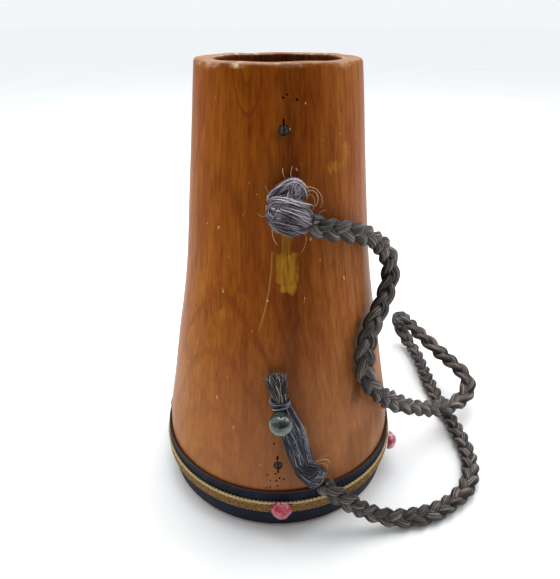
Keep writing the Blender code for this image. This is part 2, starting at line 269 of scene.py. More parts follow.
def new_material(name, values):
    """A material with one Principled shader and its fixed values."""
    material = bpy.data.materials.new(name)
    material.use_nodes = True
    tree = material.node_tree
    shader = tree.nodes["Principled BSDF"]
    for key, value in values.items():
        shader.inputs[key].default_value = value
    return material, tree, shader


def dress(tree, shader, colour, relief=None, strength=0.0, distance=0.0):
    """Gives the shader its colour, and relief as a bump of strength times distance."""
    tree.links.new(colour, shader.inputs["Base Color"])
    if relief is not None:
        bump = add_node(tree, "Bump", {
            "Height": relief, "Strength": strength, "Distance": distance})
        tree.links.new(bump, shader.inputs["Normal"])


def cloudy_material(name, values, noise, stops, bump=None):
    """A material coloured by one noise through stops, with bump = strength and distance."""
    material, tree, shader = new_material(name, values)
    place = add_node(tree, "TexCoord", out="Object")
    cloud = add_node(tree, "TexNoise", {"Vector": place, **noise})
    tone = add_node(tree, "ValToRGB", {0: cloud}, stops=stops)
    dress(tree, shader, tone, *((cloud, *bump) if bump else ()))
    return material


def place_piece(piece, material, node=None, sharp=None):
    """Material, sharp edges over an angle in degrees, body, slot and the node replaced."""
    if material is not None:
        piece.data.materials.append(material)
    if sharp is not None:
        piece.data.set_sharp_from_angle(angle=math.radians(sharp))
    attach(piece, "root")
    if node is not None:
        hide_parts(node)


CUP_COLUMNS = 320
# chips in the outer edge of the rim: degrees from the front, width and depth
RIM_CHIPS = ((-52.0, 0.0030, 0.0011), (-44.0, 0.0022, 0.0007), (-27.0, 0.0020, 0.0008),
             (-22.0, 0.0012, 0.0005), (-66.0, 0.0040, 0.0005), (9.0, 0.0060, 0.0002),
             (47.0, 0.0028, 0.0005), (118.0, 0.0030, 0.0006), (171.0, 0.0045, 0.0004),
             (204.0, 0.0022, 0.0007), (236.0, 0.0050, 0.0003))

rim_inside = float(inside_radius(CUP_HEIGHT))
seat_height = BOARD_THICKNESS + CLEARANCE
seat_radius = float(inside_radius(BOARD_THICKNESS)) + BOARD_LEDGE + CLEARANCE
foot_radius = float(outside_radius(0.0))
rise = np.concatenate((np.linspace(0.0006, 0.176, 96),
                       np.linspace(0.177, CUP_HEIGHT - RIM_ROUNDING, 18)))
quarter = np.radians(np.linspace(0.0, 90.0, 7))
outer_arc = np.column_stack((RIM_RADIUS - RIM_ROUNDING * (1.0 - np.cos(quarter)),
                             CUP_HEIGHT - RIM_ROUNDING * (1.0 - np.sin(quarter))))
inner_arc = np.column_stack((rim_inside + RIM_ROUNDING * (1.0 - np.cos(quarter)),
                             CUP_HEIGHT - RIM_ROUNDING * (1.0 - np.sin(quarter))))[::-1]
flat_rim = np.column_stack((np.linspace(RIM_RADIUS - RIM_ROUNDING,
                                        rim_inside + RIM_ROUNDING, 7)[1:-1],
                            np.full(5, CUP_HEIGHT)))
fall = np.linspace(CUP_HEIGHT - RIM_ROUNDING, seat_height, 44)[1:]
cup_profile = np.vstack((
    [(foot_radius - 0.0006, 0.0)],
    np.column_stack((outside_radius(rise), rise)),
    outer_arc[1:], flat_rim, inner_arc,
    np.column_stack((inside_radius(fall), fall)),
    [(seat_radius, seat_height), (seat_radius, 0.0),
     (0.5 * (seat_radius + foot_radius), 0.0)],
))
outer_rows = len(rise) + len(outer_arc)
rim_rows = outer_rows + len(flat_rim) + len(inner_arc)
turn = np.linspace(0.0, 2.0 * np.pi, CUP_COLUMNS, endpoint=False)[None, :]
radius = np.repeat(cup_profile[:, :1], CUP_COLUMNS, axis=1)
height = np.repeat(cup_profile[:, 1:], CUP_COLUMNS, axis=1)
# hand-turned work is never quite true: two or three long waves of a tenth of a millimetre
skin = np.zeros_like(radius)
skin[:outer_rows] = ease(height[:outer_rows], 0.002, 0.03)
radius += skin * 0.00010 * (np.sin(3.0 * turn + 40.0 * height)
                            + np.sin(2.0 * turn - 95.0 * height + 1.0))
rim_level = ease(height, CUP_HEIGHT - 0.012, CUP_HEIGHT)
rim_level[rim_rows + 8:] = 0.0
height -= rim_level * 0.00022 * (1.0 + np.sin(2.0 * turn + 0.6) * np.cos(5.0 * turn))
chip = np.zeros_like(turn)
for chip_turn, chip_width, chip_depth in RIM_CHIPS:
    apart = (turn - math.radians(chip_turn - 90.0) + np.pi) % (2.0 * np.pi) - np.pi
    chip = np.maximum(chip, chip_depth * np.exp(-(apart * RIM_RADIUS / chip_width) ** 2))
arris = np.zeros_like(radius)
arris[:outer_rows] = ease(cup_profile[:outer_rows, 1:], CUP_HEIGHT - 0.0030, CUP_HEIGHT - 0.0004)
arris[outer_rows:outer_rows + 2] = (0.45,), (0.15,)
radius -= arris * chip * 0.9
height -= arris * chip * 0.6
# how far the varnish is worn off: a thin ragged line on the outer edge, half on the flat
# of the rim, all of it on the inner edge; and which faces look into the hollow
ragged = 0.0001 + 0.0002 * np.sin(7.0 * turn) * np.sin(19.0 * turn + 2.0) + 0.8 * chip
worn = 0.6 * ease(cup_profile[:, 1:], CUP_HEIGHT - ragged - 0.0006, CUP_HEIGHT - ragged)
worn[outer_rows:rim_rows - 6] = 0.45
worn[rim_rows - 6:rim_rows - 2] = 0.95
worn[:rim_rows - 6] = np.maximum(worn[:rim_rows - 6], np.clip(chip / 0.0006, 0.0, 1.0)
                                 * ease(cup_profile[:rim_rows - 6, 1:], CUP_HEIGHT - 0.0016,
                                        CUP_HEIGHT - 0.0008))
worn[rim_rows - 2:] = 0.0
hollow = np.zeros_like(radius)
hollow[rim_rows - 3:-3] = 1.0
cup_points = np.stack((radius * np.cos(turn), radius * np.sin(turn), height), axis=-1)
cup = make_piece("turned_cup", cup_points.reshape(-1, 3),
                 grid_quads(len(cup_profile), CUP_COLUMNS, rows_meet=True),
                 worn=worn.ravel(), hollow=hollow.ravel())

# every hole as degrees from the front, height, half width, half height and depth
BEETLE_HOLES = (
    (3.1, 0.1796, 0.00040, 0.00042, 0.0050), (5.4, 0.1805, 0.00036, 0.00036, 0.0050),
    (11.3, 0.1789, 0.00044, 0.00050, 0.0050), (-1.9, 0.0468, 0.00045, 0.00045, 0.0060),
    (-4.8, 0.0320, 0.00040, 0.00040, 0.0060), (-1.2, 0.0326, 0.00042, 0.00045, 0.0060),
    (0.6, 0.0304, 0.00046, 0.00050, 0.0060), (2.6, 0.0298, 0.00046, 0.00042, 0.0060),
    (-0.8, 0.0289, 0.00050, 0.00046, 0.0060), (-0.3, 0.0262, 0.00046, 0.00042, 0.0060),
    (-3.7, 0.0255, 0.00040, 0.00040, 0.0060), (-3.4, 0.0290, 0.00034, 0.00034, 0.0060),
)
CHECKS = ((3.4, 0.1722, 0.00036, 0.00110, 0.0050), (-0.3, 0.0402, 0.00045, 0.00125, 0.0060),
          (0.0, 0.0340, 0.00034, 0.00120, 0.0060))
PINS = ((2.5, 0.1405, 0.0010, 0.0010, 0.0063), (1.0, 0.0640, 0.0010, 0.0010, 0.0063))
PEGS = ((3.5, 0.1695, 0.0019, 0.0019, 0.0160), (0.0, 0.0368, 0.0019, 0.0019, 0.0180))
bores = np.array(BEETLE_HOLES + CHECKS + PINS + PEGS)
bore_turn = np.radians(bores[:, 0])
away = np.stack((np.sin(bore_turn), -np.cos(bore_turn), np.zeros(len(bores))), axis=1)
aside = np.stack((np.cos(bore_turn), np.sin(bore_turn), np.zeros(len(bores))), axis=1)
mouth = on_cup(bores[:, 0], bores[:, 1], 0.0)
depths = np.stack((-bores[:, 4], np.full(len(bores), 0.0030)), axis=1)
round_turn = np.linspace(0.0, 2.0 * np.pi, 20, endpoint=False)
across = (aside[:, None, :] * (bores[:, 2, None] * np.cos(round_turn))[..., None]
          + np.array((0.0, 0.0, 1.0)) * (bores[:, 3, None] * np.sin(round_turn))[..., None])
bore_rings = (mouth[:, None, None, :] + away[:, None, None, :] * depths[:, :, None, None]
              + across[:, None, :, :])
borer = make_piece("borer", *closed_tubes(bore_rings))

# painted shade: every hole's walls are near black, standing in for the shade deep in a narrow bore
borer.data.materials.append(cloudy_material(
    "bore_painted_shade", {"Roughness": 0.9}, {"Scale": 900.0}, [(0.35, "120A06"), (0.75, "2E1A0E")]))

# Varnished birch: fibres run up the cup, 0.6 to 1.5 mm wide and several centimetres long;
# growth rings about 4.5 mm apart show as faint darker lines; broad honey and red-brown
# streaks, with painted sheen making both flanks and the foot paler.  The old varnish is clear and
# deep: no haze straight on, a pale gloss edge on.
wood, tree, shader = new_material("varnished_turned_birch", {
    "Roughness": 0.42, "IOR": 1.5, "Specular IOR Level": 0.02, "Coat Weight": 0.22,
    "Coat IOR": 1.25, "Coat Roughness": 0.2})
place = add_node(tree, "TexCoord", out="Object")
across_cup, towards_back, up_cup = add_node(tree, "SeparateXYZ", {0: place}).node.outputs
wander = stretched_noise(tree, place, (60.0, 60.0, 3.0), 2.0)
strayed = add_node(tree, "Math", {0: wander, 1: 0.009, 2: across_cup}, operation="MULTIPLY_ADD")
# painted light: the colour runs across the cup from left to right, darkest on the front and paler
# and rosier on both flanks, as gloss and light make it; the dark bands between are real streaks
streak_and_sheen_place = add_node(tree, "MapRange", {0: strayed, 1: -0.0515, 2: 0.0605, 3: 0.0, 4: 1.0})
streaks_and_flank_sheen = add_node(tree, "ValToRGB", {0: streak_and_sheen_place}, stops=[
    (0.00, "AC6A24"), (0.14, "B47020"), (0.26, "AA6218"), (0.36, "94500F"),
    (0.48, "8E4C12"), (0.545, "70380B"), (0.60, "84460F"), (0.70, "9A5C26"),
    (0.82, "A06434"), (1.00, "A2683E")])
# long soft streaks 6 mm wide, then single fibres
bands = stretched_noise(tree, place, (240.0, 240.0, 2.0), 4.0, 0.65)
band_tone = add_node(tree, "ValToRGB", {0: bands}, stops=[
    (0.34, "BE8F68"), (0.46, "E6D2BC"), (0.58, "FFFFFF"), (0.72, "FFFFFF")])
fibre = stretched_noise(tree, place, (1000.0, 1000.0, 7.0), 4.0, 0.6)
fibre_tone = add_node(tree, "ValToRGB", {0: fibre}, stops=[
    (0.30, "A88A6C"), (0.48, "E8DED2"), (0.62, "FFFFFF")])
# growth rings round a heart that lies well behind the cup and to its right
around_heart = add_node(tree, "Mapping", {
    "Vector": place, "Location": (-0.16, -0.25, 0.0), "Scale": (1.0, 1.0, 0.0)})
from_heart = add_node(tree, "VectorMath", {0: around_heart}, operation="LENGTH")
RING_RATE = 1400.0              # radians to the metre: a ring every 4.5 mm
ring_turns = add_node(tree, "Math", {0: from_heart, 1: RING_RATE,
                                     2: all_of(tree, wander, 2.4)}, operation="MULTIPLY_ADD")
ring_line = add_node(tree, "Math", {0: ring_turns}, operation="SINE")
ring_tone = add_node(tree, "ValToRGB", {0: ring_line}, stops=[
    (0.40, "FFFFFF"), (0.86, "E2CDB6"), (0.98, "B48E66")])
ring_share = add_node(tree, "MapRange", {0: bands, 1: 0.40, 2: 0.65, 3: 0.10, 4: 0.55})
# painted sheen: paler and rosier towards the foot, where the flare faces up to the lamp and the
# white room
foot_sheen_share = add_node(tree, "MapRange", {0: up_cup, 1: 0.110, 2: 0.030, 3: 0.0, 4: 0.32},
                    interpolation_type="SMOOTHSTEP")
# pale nicks and specks about 0.5 mm wide, and grime in small dark dots
speck = stretched_noise(tree, place, (640.0, 640.0, 300.0), 1.0, Rotation=(0.5, 0.2, 0.4))
speck_share = add_node(tree, "MapRange", {0: speck, 1: 0.765, 2: 0.80, 3: 0.0, 4: 0.7})
grime_share = add_node(tree, "MapRange", {0: speck, 1: 0.235, 2: 0.205, 3: 0.0, 4: 0.6})
# patches on the front: left, right, low and high limits in metres, share
RUBBED = ((0.0006, 0.0040, 0.1210, 0.1390, 0.50), (-0.0010, 0.0070, 0.1150, 0.1262, 0.80),
          (0.0004, 0.0060, 0.1112, 0.1150, 0.95), (0.0226, 0.0246, 0.1575, 0.1640, 0.50),
          (0.0170, 0.0236, 0.1545, 0.1575, 0.50), (-0.0232, -0.0214, 0.0975, 0.1015, 0.75),
          (-0.0268, -0.0256, 0.0905, 0.0935, 0.60))
# the first stain, just left of where the cord leans on the cup, is the cord's painted shadow over
# a rub
STAINS_AND_CORD_SHADOW = ((0.0312, 0.0352, 0.0560, 0.0920, 0.55), (0.0290, 0.0420, 0.0250, 0.0440, 0.30),
          (-0.0020, 0.0048, 0.1640, 0.1690, 0.45), (0.0060, 0.0075, 0.0700, 0.1650, 0.30),
          (-0.0135, -0.0128, 0.0560, 0.1480, 0.25))
rough_edge = stretched_noise(tree, place, (500.0, 500.0, 240.0), 3.0)
ragged_x = add_node(tree, "Math", {0: rough_edge, 1: 0.003, 2: across_cup},
                    operation="MULTIPLY_ADD")
ragged_z = add_node(tree, "Math", {0: rough_edge, 1: 0.006, 2: up_cup},
                    operation="MULTIPLY_ADD")
in_front = add_node(tree, "MapRange", {0: towards_back, 1: 0.0, 2: -0.004})


def patch_share(patches, near_x, far_x, near_z, far_z):
    """The strongest share of any patch, where each has four soft edges.

    An edge fades from near to far past its limit, because the noise that makes it ragged
    moves everything by that much.
    """
    most = None
    for left, right, low, high, share in patches:
        edges = [add_node(tree, "MapRange", {0: axis, 1: start, 2: end},
                          interpolation_type="SMOOTHSTEP")
                 for axis, start, end in ((ragged_x, left + near_x, left + far_x),
                                          (ragged_x, right + far_x, right + near_x),
                                          (ragged_z, low + near_z, low + far_z),
                                          (ragged_z, high + far_z, high + near_z))]
        strength = all_of(tree, in_front, *edges, share)
        most = strength if most is None else add_node(
            tree, "Math", {0: most, 1: strength}, operation="MAXIMUM")
    return most


rubbed = patch_share(RUBBED, 0.0014, 0.0026, 0.0022, 0.0038)
rubbed_tone = add_node(tree, "ValToRGB", {0: fibre}, stops=[(0.35, "84540E"), (0.65, "B47E22")])
# real stains, and the cord's painted shadow as the first of them
stain_and_shadow_share = patch_share(STAINS_AND_CORD_SHADOW, 0.0008, 0.0026, 0.0010, 0.0060)
# a loop of figure that hangs from the rim, 8 mm wide and 14 mm deep: two nested ellipses
in_loop = add_node(tree, "Mapping", {
    "Vector": place, "Location": (2.4, 0.0, -13.6), "Scale": (240.0, 0.0, 71.5)})
loop_reach = add_node(tree, "VectorMath", {0: in_loop}, operation="LENGTH")
loop_sine = add_node(tree, "Math", {0: all_of(tree, loop_reach, 9.5)}, operation="SINE")
loop_line = add_node(tree, "MapRange", {0: loop_sine, 1: -0.70, 2: -1.0, 3: 0.0, 4: 0.55})
loop_limit = add_node(tree, "MapRange", {0: loop_reach, 1: 1.15, 2: 1.35, 3: 1.0, 4: 0.0})
# a long thin scratch that bends down and to the left from the patch
fallen = add_node(tree, "MapRange", {0: up_cup, 1: 0.128, 2: 0.094, 3: 0.0, 4: 1.0})
scratch_x = add_node(tree, "Math", {0: all_of(tree, fallen, fallen), 1: 0.0058, 2: across_cup},
                     operation="MULTIPLY_ADD")
off_scratch = add_node(tree, "Math", {0: scratch_x, 1: -0.0022}, operation="SUBTRACT")
scratch_gap = add_node(tree, "Math", {0: off_scratch}, operation="ABSOLUTE")
scratch_line = add_node(tree, "MapRange", {0: scratch_gap, 1: 0.00036, 2: 0.00010, 3: 0.0, 4: 0.4})
scratch_ends = add_node(tree, "MapRange", {0: fallen, 1: 1.0, 2: 0.85})
scratch_top = add_node(tree, "MapRange", {0: fallen, 1: 0.0, 2: 0.05})
# bare wood on the rim, darker wood in the hollow
bare_mottle = add_node(tree, "TexNoise", {
    "Vector": place, "Scale": 420.0, "Detail": 4.0, "Roughness": 0.6})
bare_shade = add_node(tree, "Math", {0: ring_line, 1: 0.05, 2: bare_mottle},
                      operation="MULTIPLY_ADD")
bare_tone = add_node(tree, "ValToRGB", {0: bare_shade}, stops=[
    (0.40, "8E6446"), (0.56, "A57E5C"), (0.70, "D0B690")])
inner_tone = add_node(tree, "ValToRGB", {0: fibre}, stops=[(0.30, "42200F"), (0.70, "7A3E1E")])
grained = layered(tree, streaks_and_flank_sheen, (0.55, band_tone), (0.60, fibre_tone), (ring_share, ring_tone),
                  blend="MULTIPLY")
skin_tone = layered(
    tree, grained, (foot_sheen_share, "BE8862"), (speck_share, "D8B07C"), (grime_share, "3A2010"),
    (rubbed, rubbed_tone), (stain_and_shadow_share, "3E1C08"),
    (all_of(tree, loop_line, in_front, loop_limit), "5A2C0E"),
    (all_of(tree, scratch_line, scratch_ends, scratch_top, in_front), "C89A58"),
    (add_node(tree, "Attribute", attribute_name="worn", out="Fac"), bare_tone),
    (add_node(tree, "Attribute", attribute_name="hollow", out="Fac"), inner_tone))
dress(tree, shader, skin_tone, fibre, 0.25, 0.0002)
gloss = add_node(tree, "MapRange", {0: fibre, 1: 0.3, 2: 0.7, 3: 0.36, 4: 0.50})
tree.links.new(gloss, shader.inputs["Roughness"])
cup.data.materials.append(wood)


def cut_away(piece, cutter):
    """Takes the cutter's space out of the piece, keeps the result and drops the cutter."""
    step = piece.modifiers.new("cut", "BOOLEAN")
    step.operation = "DIFFERENCE"
    step.solver = "EXACT"
    step.use_self = True
    step.material_mode = "TRANSFER"
    step.object = cutter
    seen = piece.evaluated_get(bpy.context.evaluated_depsgraph_get())
    before = piece.data
    piece.data = bpy.data.meshes.new_from_object(seen)
    piece.data.name = piece.name
    piece.modifiers.clear()
    bpy.data.meshes.remove(before)
    bpy.data.objects.remove(cutter)


cut_away(cup, borer)
cup.data.shade_smooth()
place_piece(cup, None, "cup_body", sharp=40.0)


# ---- the bottom board ---------------------------------------------------------------------
# A disc of plain sawn softwood, let in flush from below and never varnished.

board_wood, tree, shader = new_material("sawn_pine_board", {"Roughness": 0.7})
place = add_node(tree, "TexCoord", out="Object")
board_grain = stretched_noise(tree, place, (25.0, 420.0, 420.0), 5.0)
board_tone = add_node(tree, "ValToRGB", {0: board_grain}, stops=[
    (0.30, "4A2F1B"), (0.52, "74502F"), (0.72, "947049")])
dress(tree, shader, board_tone, board_grain, 0.4, 0.0003)
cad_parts["base_disc"].material_slots[0].material = board_wood


# ---- the two old pegs ---------------------------------------------------------------------
# Softwood pegs driven through older pin holes: round grey end grain with a dark split.

PEG_RADIUS = 0.0016
PEG_COLUMNS = 40
peg_wood = cloudy_material(
    "weathered_peg_end_grain", {"Roughness": 0.8}, {"Scale": 1800.0, "Detail": 3.0},
    [(0.36, "14110E"), (0.52, "2E2924"), (0.66, "4A443C")], (0.5, 0.0002))


def standing(turn, height, standoff, outwards, aside, upwards):
    """World points from metres outwards, aside and upwards about one place on the cup."""
    angle = math.radians(turn)
    outward = np.array((math.sin(angle), -math.cos(angle), 0.0))
    sideways = np.array((math.cos(angle), math.sin(angle), 0.0))
    return (on_cup(turn, height, standoff) + outwards[..., None] * outward
            + aside[..., None] * sideways + upwards[..., None] * np.array((0.0, 0.0, 1.0)))


for label, (peg_turn, peg_height, *_) in zip(("upper", "lower"), PEGS):
    # a rod whose outer end is a shallow dome with a split that is a narrow sunk valley
    wall = float(outside_radius(peg_height) - inside_radius(peg_height))
    share = np.concatenate((np.linspace(0.05, 1.0, 12), np.ones(3)))
    depth = np.concatenate((np.zeros(12), (0.0015, 0.004, wall)))
    spin = np.linspace(0.0, 2.0 * np.pi, PEG_COLUMNS, endpoint=False)
    wide = PEG_RADIUS * share[:, None] * np.cos(spin)
    tall = PEG_RADIUS * share[:, None] * np.sin(spin)
    dome = 0.0003 - 0.00022 * share[:, None] ** 2 - depth[:, None]
    split = 0.0007 * np.exp(-(wide / 0.00022) ** 2) * (depth[:, None] == 0.0)
    peg_points = standing(peg_turn, peg_height, 0.0, dome - split, wide, tall)[::-1]
    peg = make_piece(label + "_old_peg", *closed_tubes(peg_points[None]))
    place_piece(peg, peg_wood, label + "_peg", sharp=50.0)


# ---- the navy ribbon ----------------------------------------------------------------------
# A grosgrain ribbon of navy silk glued round the foot, with firm rounded edges and a dark brown
# line along the top.

RIBBON_LOW = 0.0025
RIBBON_WIDTH = 0.0213
RIBBON_THICKNESS = 0.0007
RIBBON_COLUMNS = 480


def wrapped_band(name, low, width, inner_gap, thickness, columns, rows, shape):
    """A closed band round the foot, inner_gap outside the wood.

    shape(turn, share) gives the extra thickness and the extra height of the outer side for
    turn in radians and share from the lower edge, 0, to the upper edge, 1.
    """
    share = np.concatenate((np.linspace(0.0, 1.0, rows), (1.0, 0.5, 0.0)))
    outer = np.concatenate((np.ones(rows), np.zeros(3)))[:, None]
    around = np.linspace(0.0, 2.0 * np.pi, columns + 1)
    thicker, higher = shape(around[None, :-1], share[:, None])
    heights = low + width * share[:, None] + higher
    reach = outside_radius(heights) + inner_gap + outer * (thickness + thicker)
    points = np.stack((reach * np.cos(around[:-1]), reach * np.sin(around[:-1]), heights),
                      axis=-1)
    spread = around * float(outside_radius(low + width / 2.0))
    uv = grid_uv(rows + 3, columns, spread, share * width, rows_meet=True)
    return make_piece(name, points.reshape(-1, 3), grid_quads(rows + 3, columns, True), uv=uv)


def ribbon_shape(turn, share):
    """Firm rounded edges a tenth of a millimetre thicker, and slow slack between them."""
    edges = 0.00015 * (np.exp(-(share / 0.03) ** 2) + np.exp(-((1.0 - share) / 0.03) ** 2))
    slack = 0.00012 * np.sin(np.pi * share) * (1.0 + np.sin(7.0 * turn) * np.sin(3.0 * turn))
    sway = 0.00012 * np.sin(5.0 * turn + 1.0) * np.ones_like(share)
    return edges + slack, sway


ribbon = wrapped_band("navy_ribbon", RIBBON_LOW, RIBBON_WIDTH, CLEARANCE, RIBBON_THICKNESS,
                      RIBBON_COLUMNS, 36, ribbon_shape)
# Grosgrain silk: cross ribs 0.7 mm apart give fine upright lines and a low silky sheen.
silk, tree, shader = new_material("navy_grosgrain_silk", {
    "Roughness": 0.6, "Sheen Weight": 0.05, "Sheen Roughness": 0.4,
    "Specular IOR Level": 0.12})
lay = add_node(tree, "UVMap", uv_map="lay")
along_lay, up_lay, _ = add_node(tree, "SeparateXYZ", {0: lay}).node.outputs
RIB_RATE = 9000.0               # radians to the metre: a rib every 0.7 mm
rib = add_node(tree, "Math", {0: all_of(tree, along_lay, RIB_RATE)}, operation="SINE")
faded = add_node(tree, "TexNoise", {"Vector": lay, "Scale": 160.0, "Detail": 4.0})
silk_tone = add_node(tree, "ValToRGB", {0: faded}, stops=[
    (0.30, "04080F"), (0.52, "081225"), (0.75, "12243E")])
rib_share = add_node(tree, "MapRange", {0: rib, 1: -1.0, 2: 1.0, 3: 0.0, 4: 0.45})
edge_share = add_node(tree, "MapRange", {
    0: up_lay, 1: RIBBON_WIDTH - 0.0011, 2: RIBBON_WIDTH - 0.0007})
dress(tree, shader, layered(tree, silk_tone, (rib_share, "0A1022"), (edge_share, "3A2318")),
      rib, 0.4, 0.0002)
place_piece(ribbon, silk, "ribbon_band", sharp=50.0)


# ---- the gold trim ------------------------------------------------------------------------
# A narrow braid of gilt thread, woven in lengthwise ribs with a toothed edge, sewn along
# the ribbon.  The gilt is dull and brown in its hollows.

TRIM_WIDTH = 0.0062
TRIM_RISE = 0.0094
TRIM_THICKNESS = 0.0008
TRIM_STITCHES = 400
TRIM_RIBS = 5


def trim_shape(turn, share):
    """Five ribs side by side, each a row of slanting stitches, and teeth at the edges.

    Between ribs the braid is thin; along a rib it swells once per stitch, every second rib
    half a stitch later, and the slant turns over from rib to rib.
    """
    rib_place = share * TRIM_RIBS
    number = np.clip(np.floor(rib_place), 0, TRIM_RIBS - 1)
    within = rib_place - number
    slant = np.where(number % 2 == 0, 1.0, -1.0) * (within - 0.5) * 2.2
    stitch = np.cos(TRIM_STITCHES * turn + slant + number * np.pi)
    swell = np.sin(np.pi * within) ** 0.7
    thicker = 0.00048 * swell * (0.80 + 0.20 * stitch) - 0.00020
    teeth = 0.00024 * np.cos(TRIM_STITCHES * turn / 2.0)
    return thicker, teeth * (ease(share, 0.86, 1.0) - ease(share, 0.14, 0.0))


trim = wrapped_band("gilt_trim", RIBBON_LOW + TRIM_RISE, TRIM_WIDTH,
                    2.0 * CLEARANCE + RIBBON_THICKNESS, TRIM_THICKNESS,
                    TRIM_STITCHES * 4, 21, trim_shape)
# Gilt thread: half metal, dull gold on the crowns and dirty brown between the stitches.
gilt, tree, shader = new_material("tarnished_gilt_thread", {"Metallic": 0.35,
                                                            "Roughness": 0.5})
lay = add_node(tree, "UVMap", uv_map="lay")
thread = stretched_noise(tree, lay, (900.0, 2600.0, 1.0), 3.0)
gilt_tone = add_node(tree, "ValToRGB", {0: thread}, stops=[
    (0.36, "4A2E0A"), (0.50, "80591A"), (0.64, "B0862C")])
# each rib is bright on its crown and brown where it meets the next; a pale thread runs
# along the upper edge
up_lay = add_node(tree, "SeparateXYZ", {0: lay}).node.outputs[1]
rib_wave = all_of(tree, up_lay, 2.0 * math.pi * TRIM_RIBS / TRIM_WIDTH)
rib_crown = add_node(tree, "Math", {0: rib_wave}, operation="COSINE")
between_ribs = add_node(tree, "MapRange", {0: rib_crown, 1: 0.1, 2: 1.0, 3: 0.0, 4: 0.85})
top_thread = add_node(tree, "MapRange", {
    0: up_lay, 1: TRIM_WIDTH * 0.80, 2: TRIM_WIDTH * 0.86, 3: 0.0, 4: 0.65})
dress(tree, shader, layered(tree, gilt_tone, (between_ribs, "2A1A08"), (top_thread, "D8BE86")),
      thread, 0.4, 0.0002)
place_piece(trim, gilt, "gold_trim")


# ---- the cabochons ------------------------------------------------------------------------
# Four domes of pressed red glass glued on the trim at uneven distances, lumpy and full of
# bubbles; the one on the left has gone a smoky lilac.

CABOCHON_RADIUS = 0.0047
CABOCHON_HEIGHT = 0.0040
CABOCHONS = (("front", 1.5), ("right", 74.0), ("back", 160.0), ("left", 256.0))


def glass_material(name, deep, middle, pale):
    """Pressed glass with a foil back: clouds 2 to 3 mm wide, pale in a deep colour."""
    return cloudy_material(name, {
        "Roughness": 0.12, "IOR": 1.5, "Coat Weight": 0.8, "Coat Roughness": 0.05,
        "Subsurface Weight": 0.15, "Subsurface Radius": (0.002, 0.001, 0.001)},
        {"Scale": 210.0, "Detail": 2.0, "Roughness": 0.5},
        [(0.42, deep), (0.55, middle), (0.68, pale)])


red_glass = glass_material("pressed_red_glass", "94182E", "BC3A50", "E8B4B8")
smoky_glass = glass_material("pressed_smoky_glass", "3E3448", "6A5E74", "B4AABC")
cabochon_middle = RIBBON_LOW + TRIM_RISE + TRIM_WIDTH / 2.0
# the flare pushes a flat back out by as much as the wood stands out at its upper or lower edge
edge_radii = outside_radius(cabochon_middle + CABOCHON_RADIUS * np.array((1.0, -1.0)))
pushed_out = max(0.0, *(float(edge) for edge in edge_radii - outside_radius(cabochon_middle)))
cabochon_standoff = 3.0 * CLEARANCE + RIBBON_THICKNESS + TRIM_THICKNESS + pushed_out
for index, (label, cabochon_turn) in enumerate(CABOCHONS):
    # a half ellipsoid with a few soft lumps, flat behind
    spin = np.linspace(0.0, 2.0 * np.pi, 56, endpoint=False)
    climb = np.concatenate((np.linspace(0.0, 90.0, 22)[1:], (90.0, 90.0)))
    climb = np.radians(climb)[::-1, None]
    back_share = np.concatenate(((0.5, 0.97), np.ones(21)))[:, None]
    lump = 1.0 + 0.035 * np.sin(3.0 * spin + index) * np.sin(2.0 * climb) + 0.02 * np.cos(
        5.0 * spin + 6.0 * climb)
    flat_part = CABOCHON_RADIUS * np.sin(climb) * back_share * lump
    lift = CABOCHON_HEIGHT * np.cos(climb) * lump
    lift[:2] = 0.0
    lift[2:3] = 0.00025
    dome_points = standing(cabochon_turn, cabochon_middle, cabochon_standoff, lift,
                           flat_part * np.cos(spin), flat_part * np.sin(spin) * 0.9)
    cabochon = make_piece(label + "_glass_cabochon", *closed_tubes(dome_points[None]))
    place_piece(cabochon, smoky_glass if label == "left" else red_glass,
                "cabochon_" + label, sharp=60.0)


# ---- the two pins -------------------------------------------------------------------------
# Steel pins with grey-green glass heads, pushed into the wood.  The lower head stands clear
# of the cord's end; the upper one is half under the knot.

PIN_HEAD_RADIUS = 0.0047
# Lampworked glass: dark green and cloudy, with a wet gloss; paler towards the underside by painted
# light.
head_glass, tree, shader = new_material("lampworked_green_glass", {
    "Roughness": 0.06, "IOR": 1.5, "Transmission Weight": 0.35, "Coat Weight": 0.6,
    "Coat Roughness": 0.04, "Subsurface Weight": 0.25,
    "Subsurface Radius": (0.001, 0.002, 0.0015)})
place = add_node(tree, "TexCoord", out="Object")
swirl = add_node(tree, "TexNoise", {
    "Vector": place, "Scale": 260.0, "Detail": 2.0, "Distortion": 1.0})
swirl_tone = add_node(tree, "ValToRGB", {0: swirl}, stops=[(0.38, "0E1E18"), (0.62, "4A5E54")])
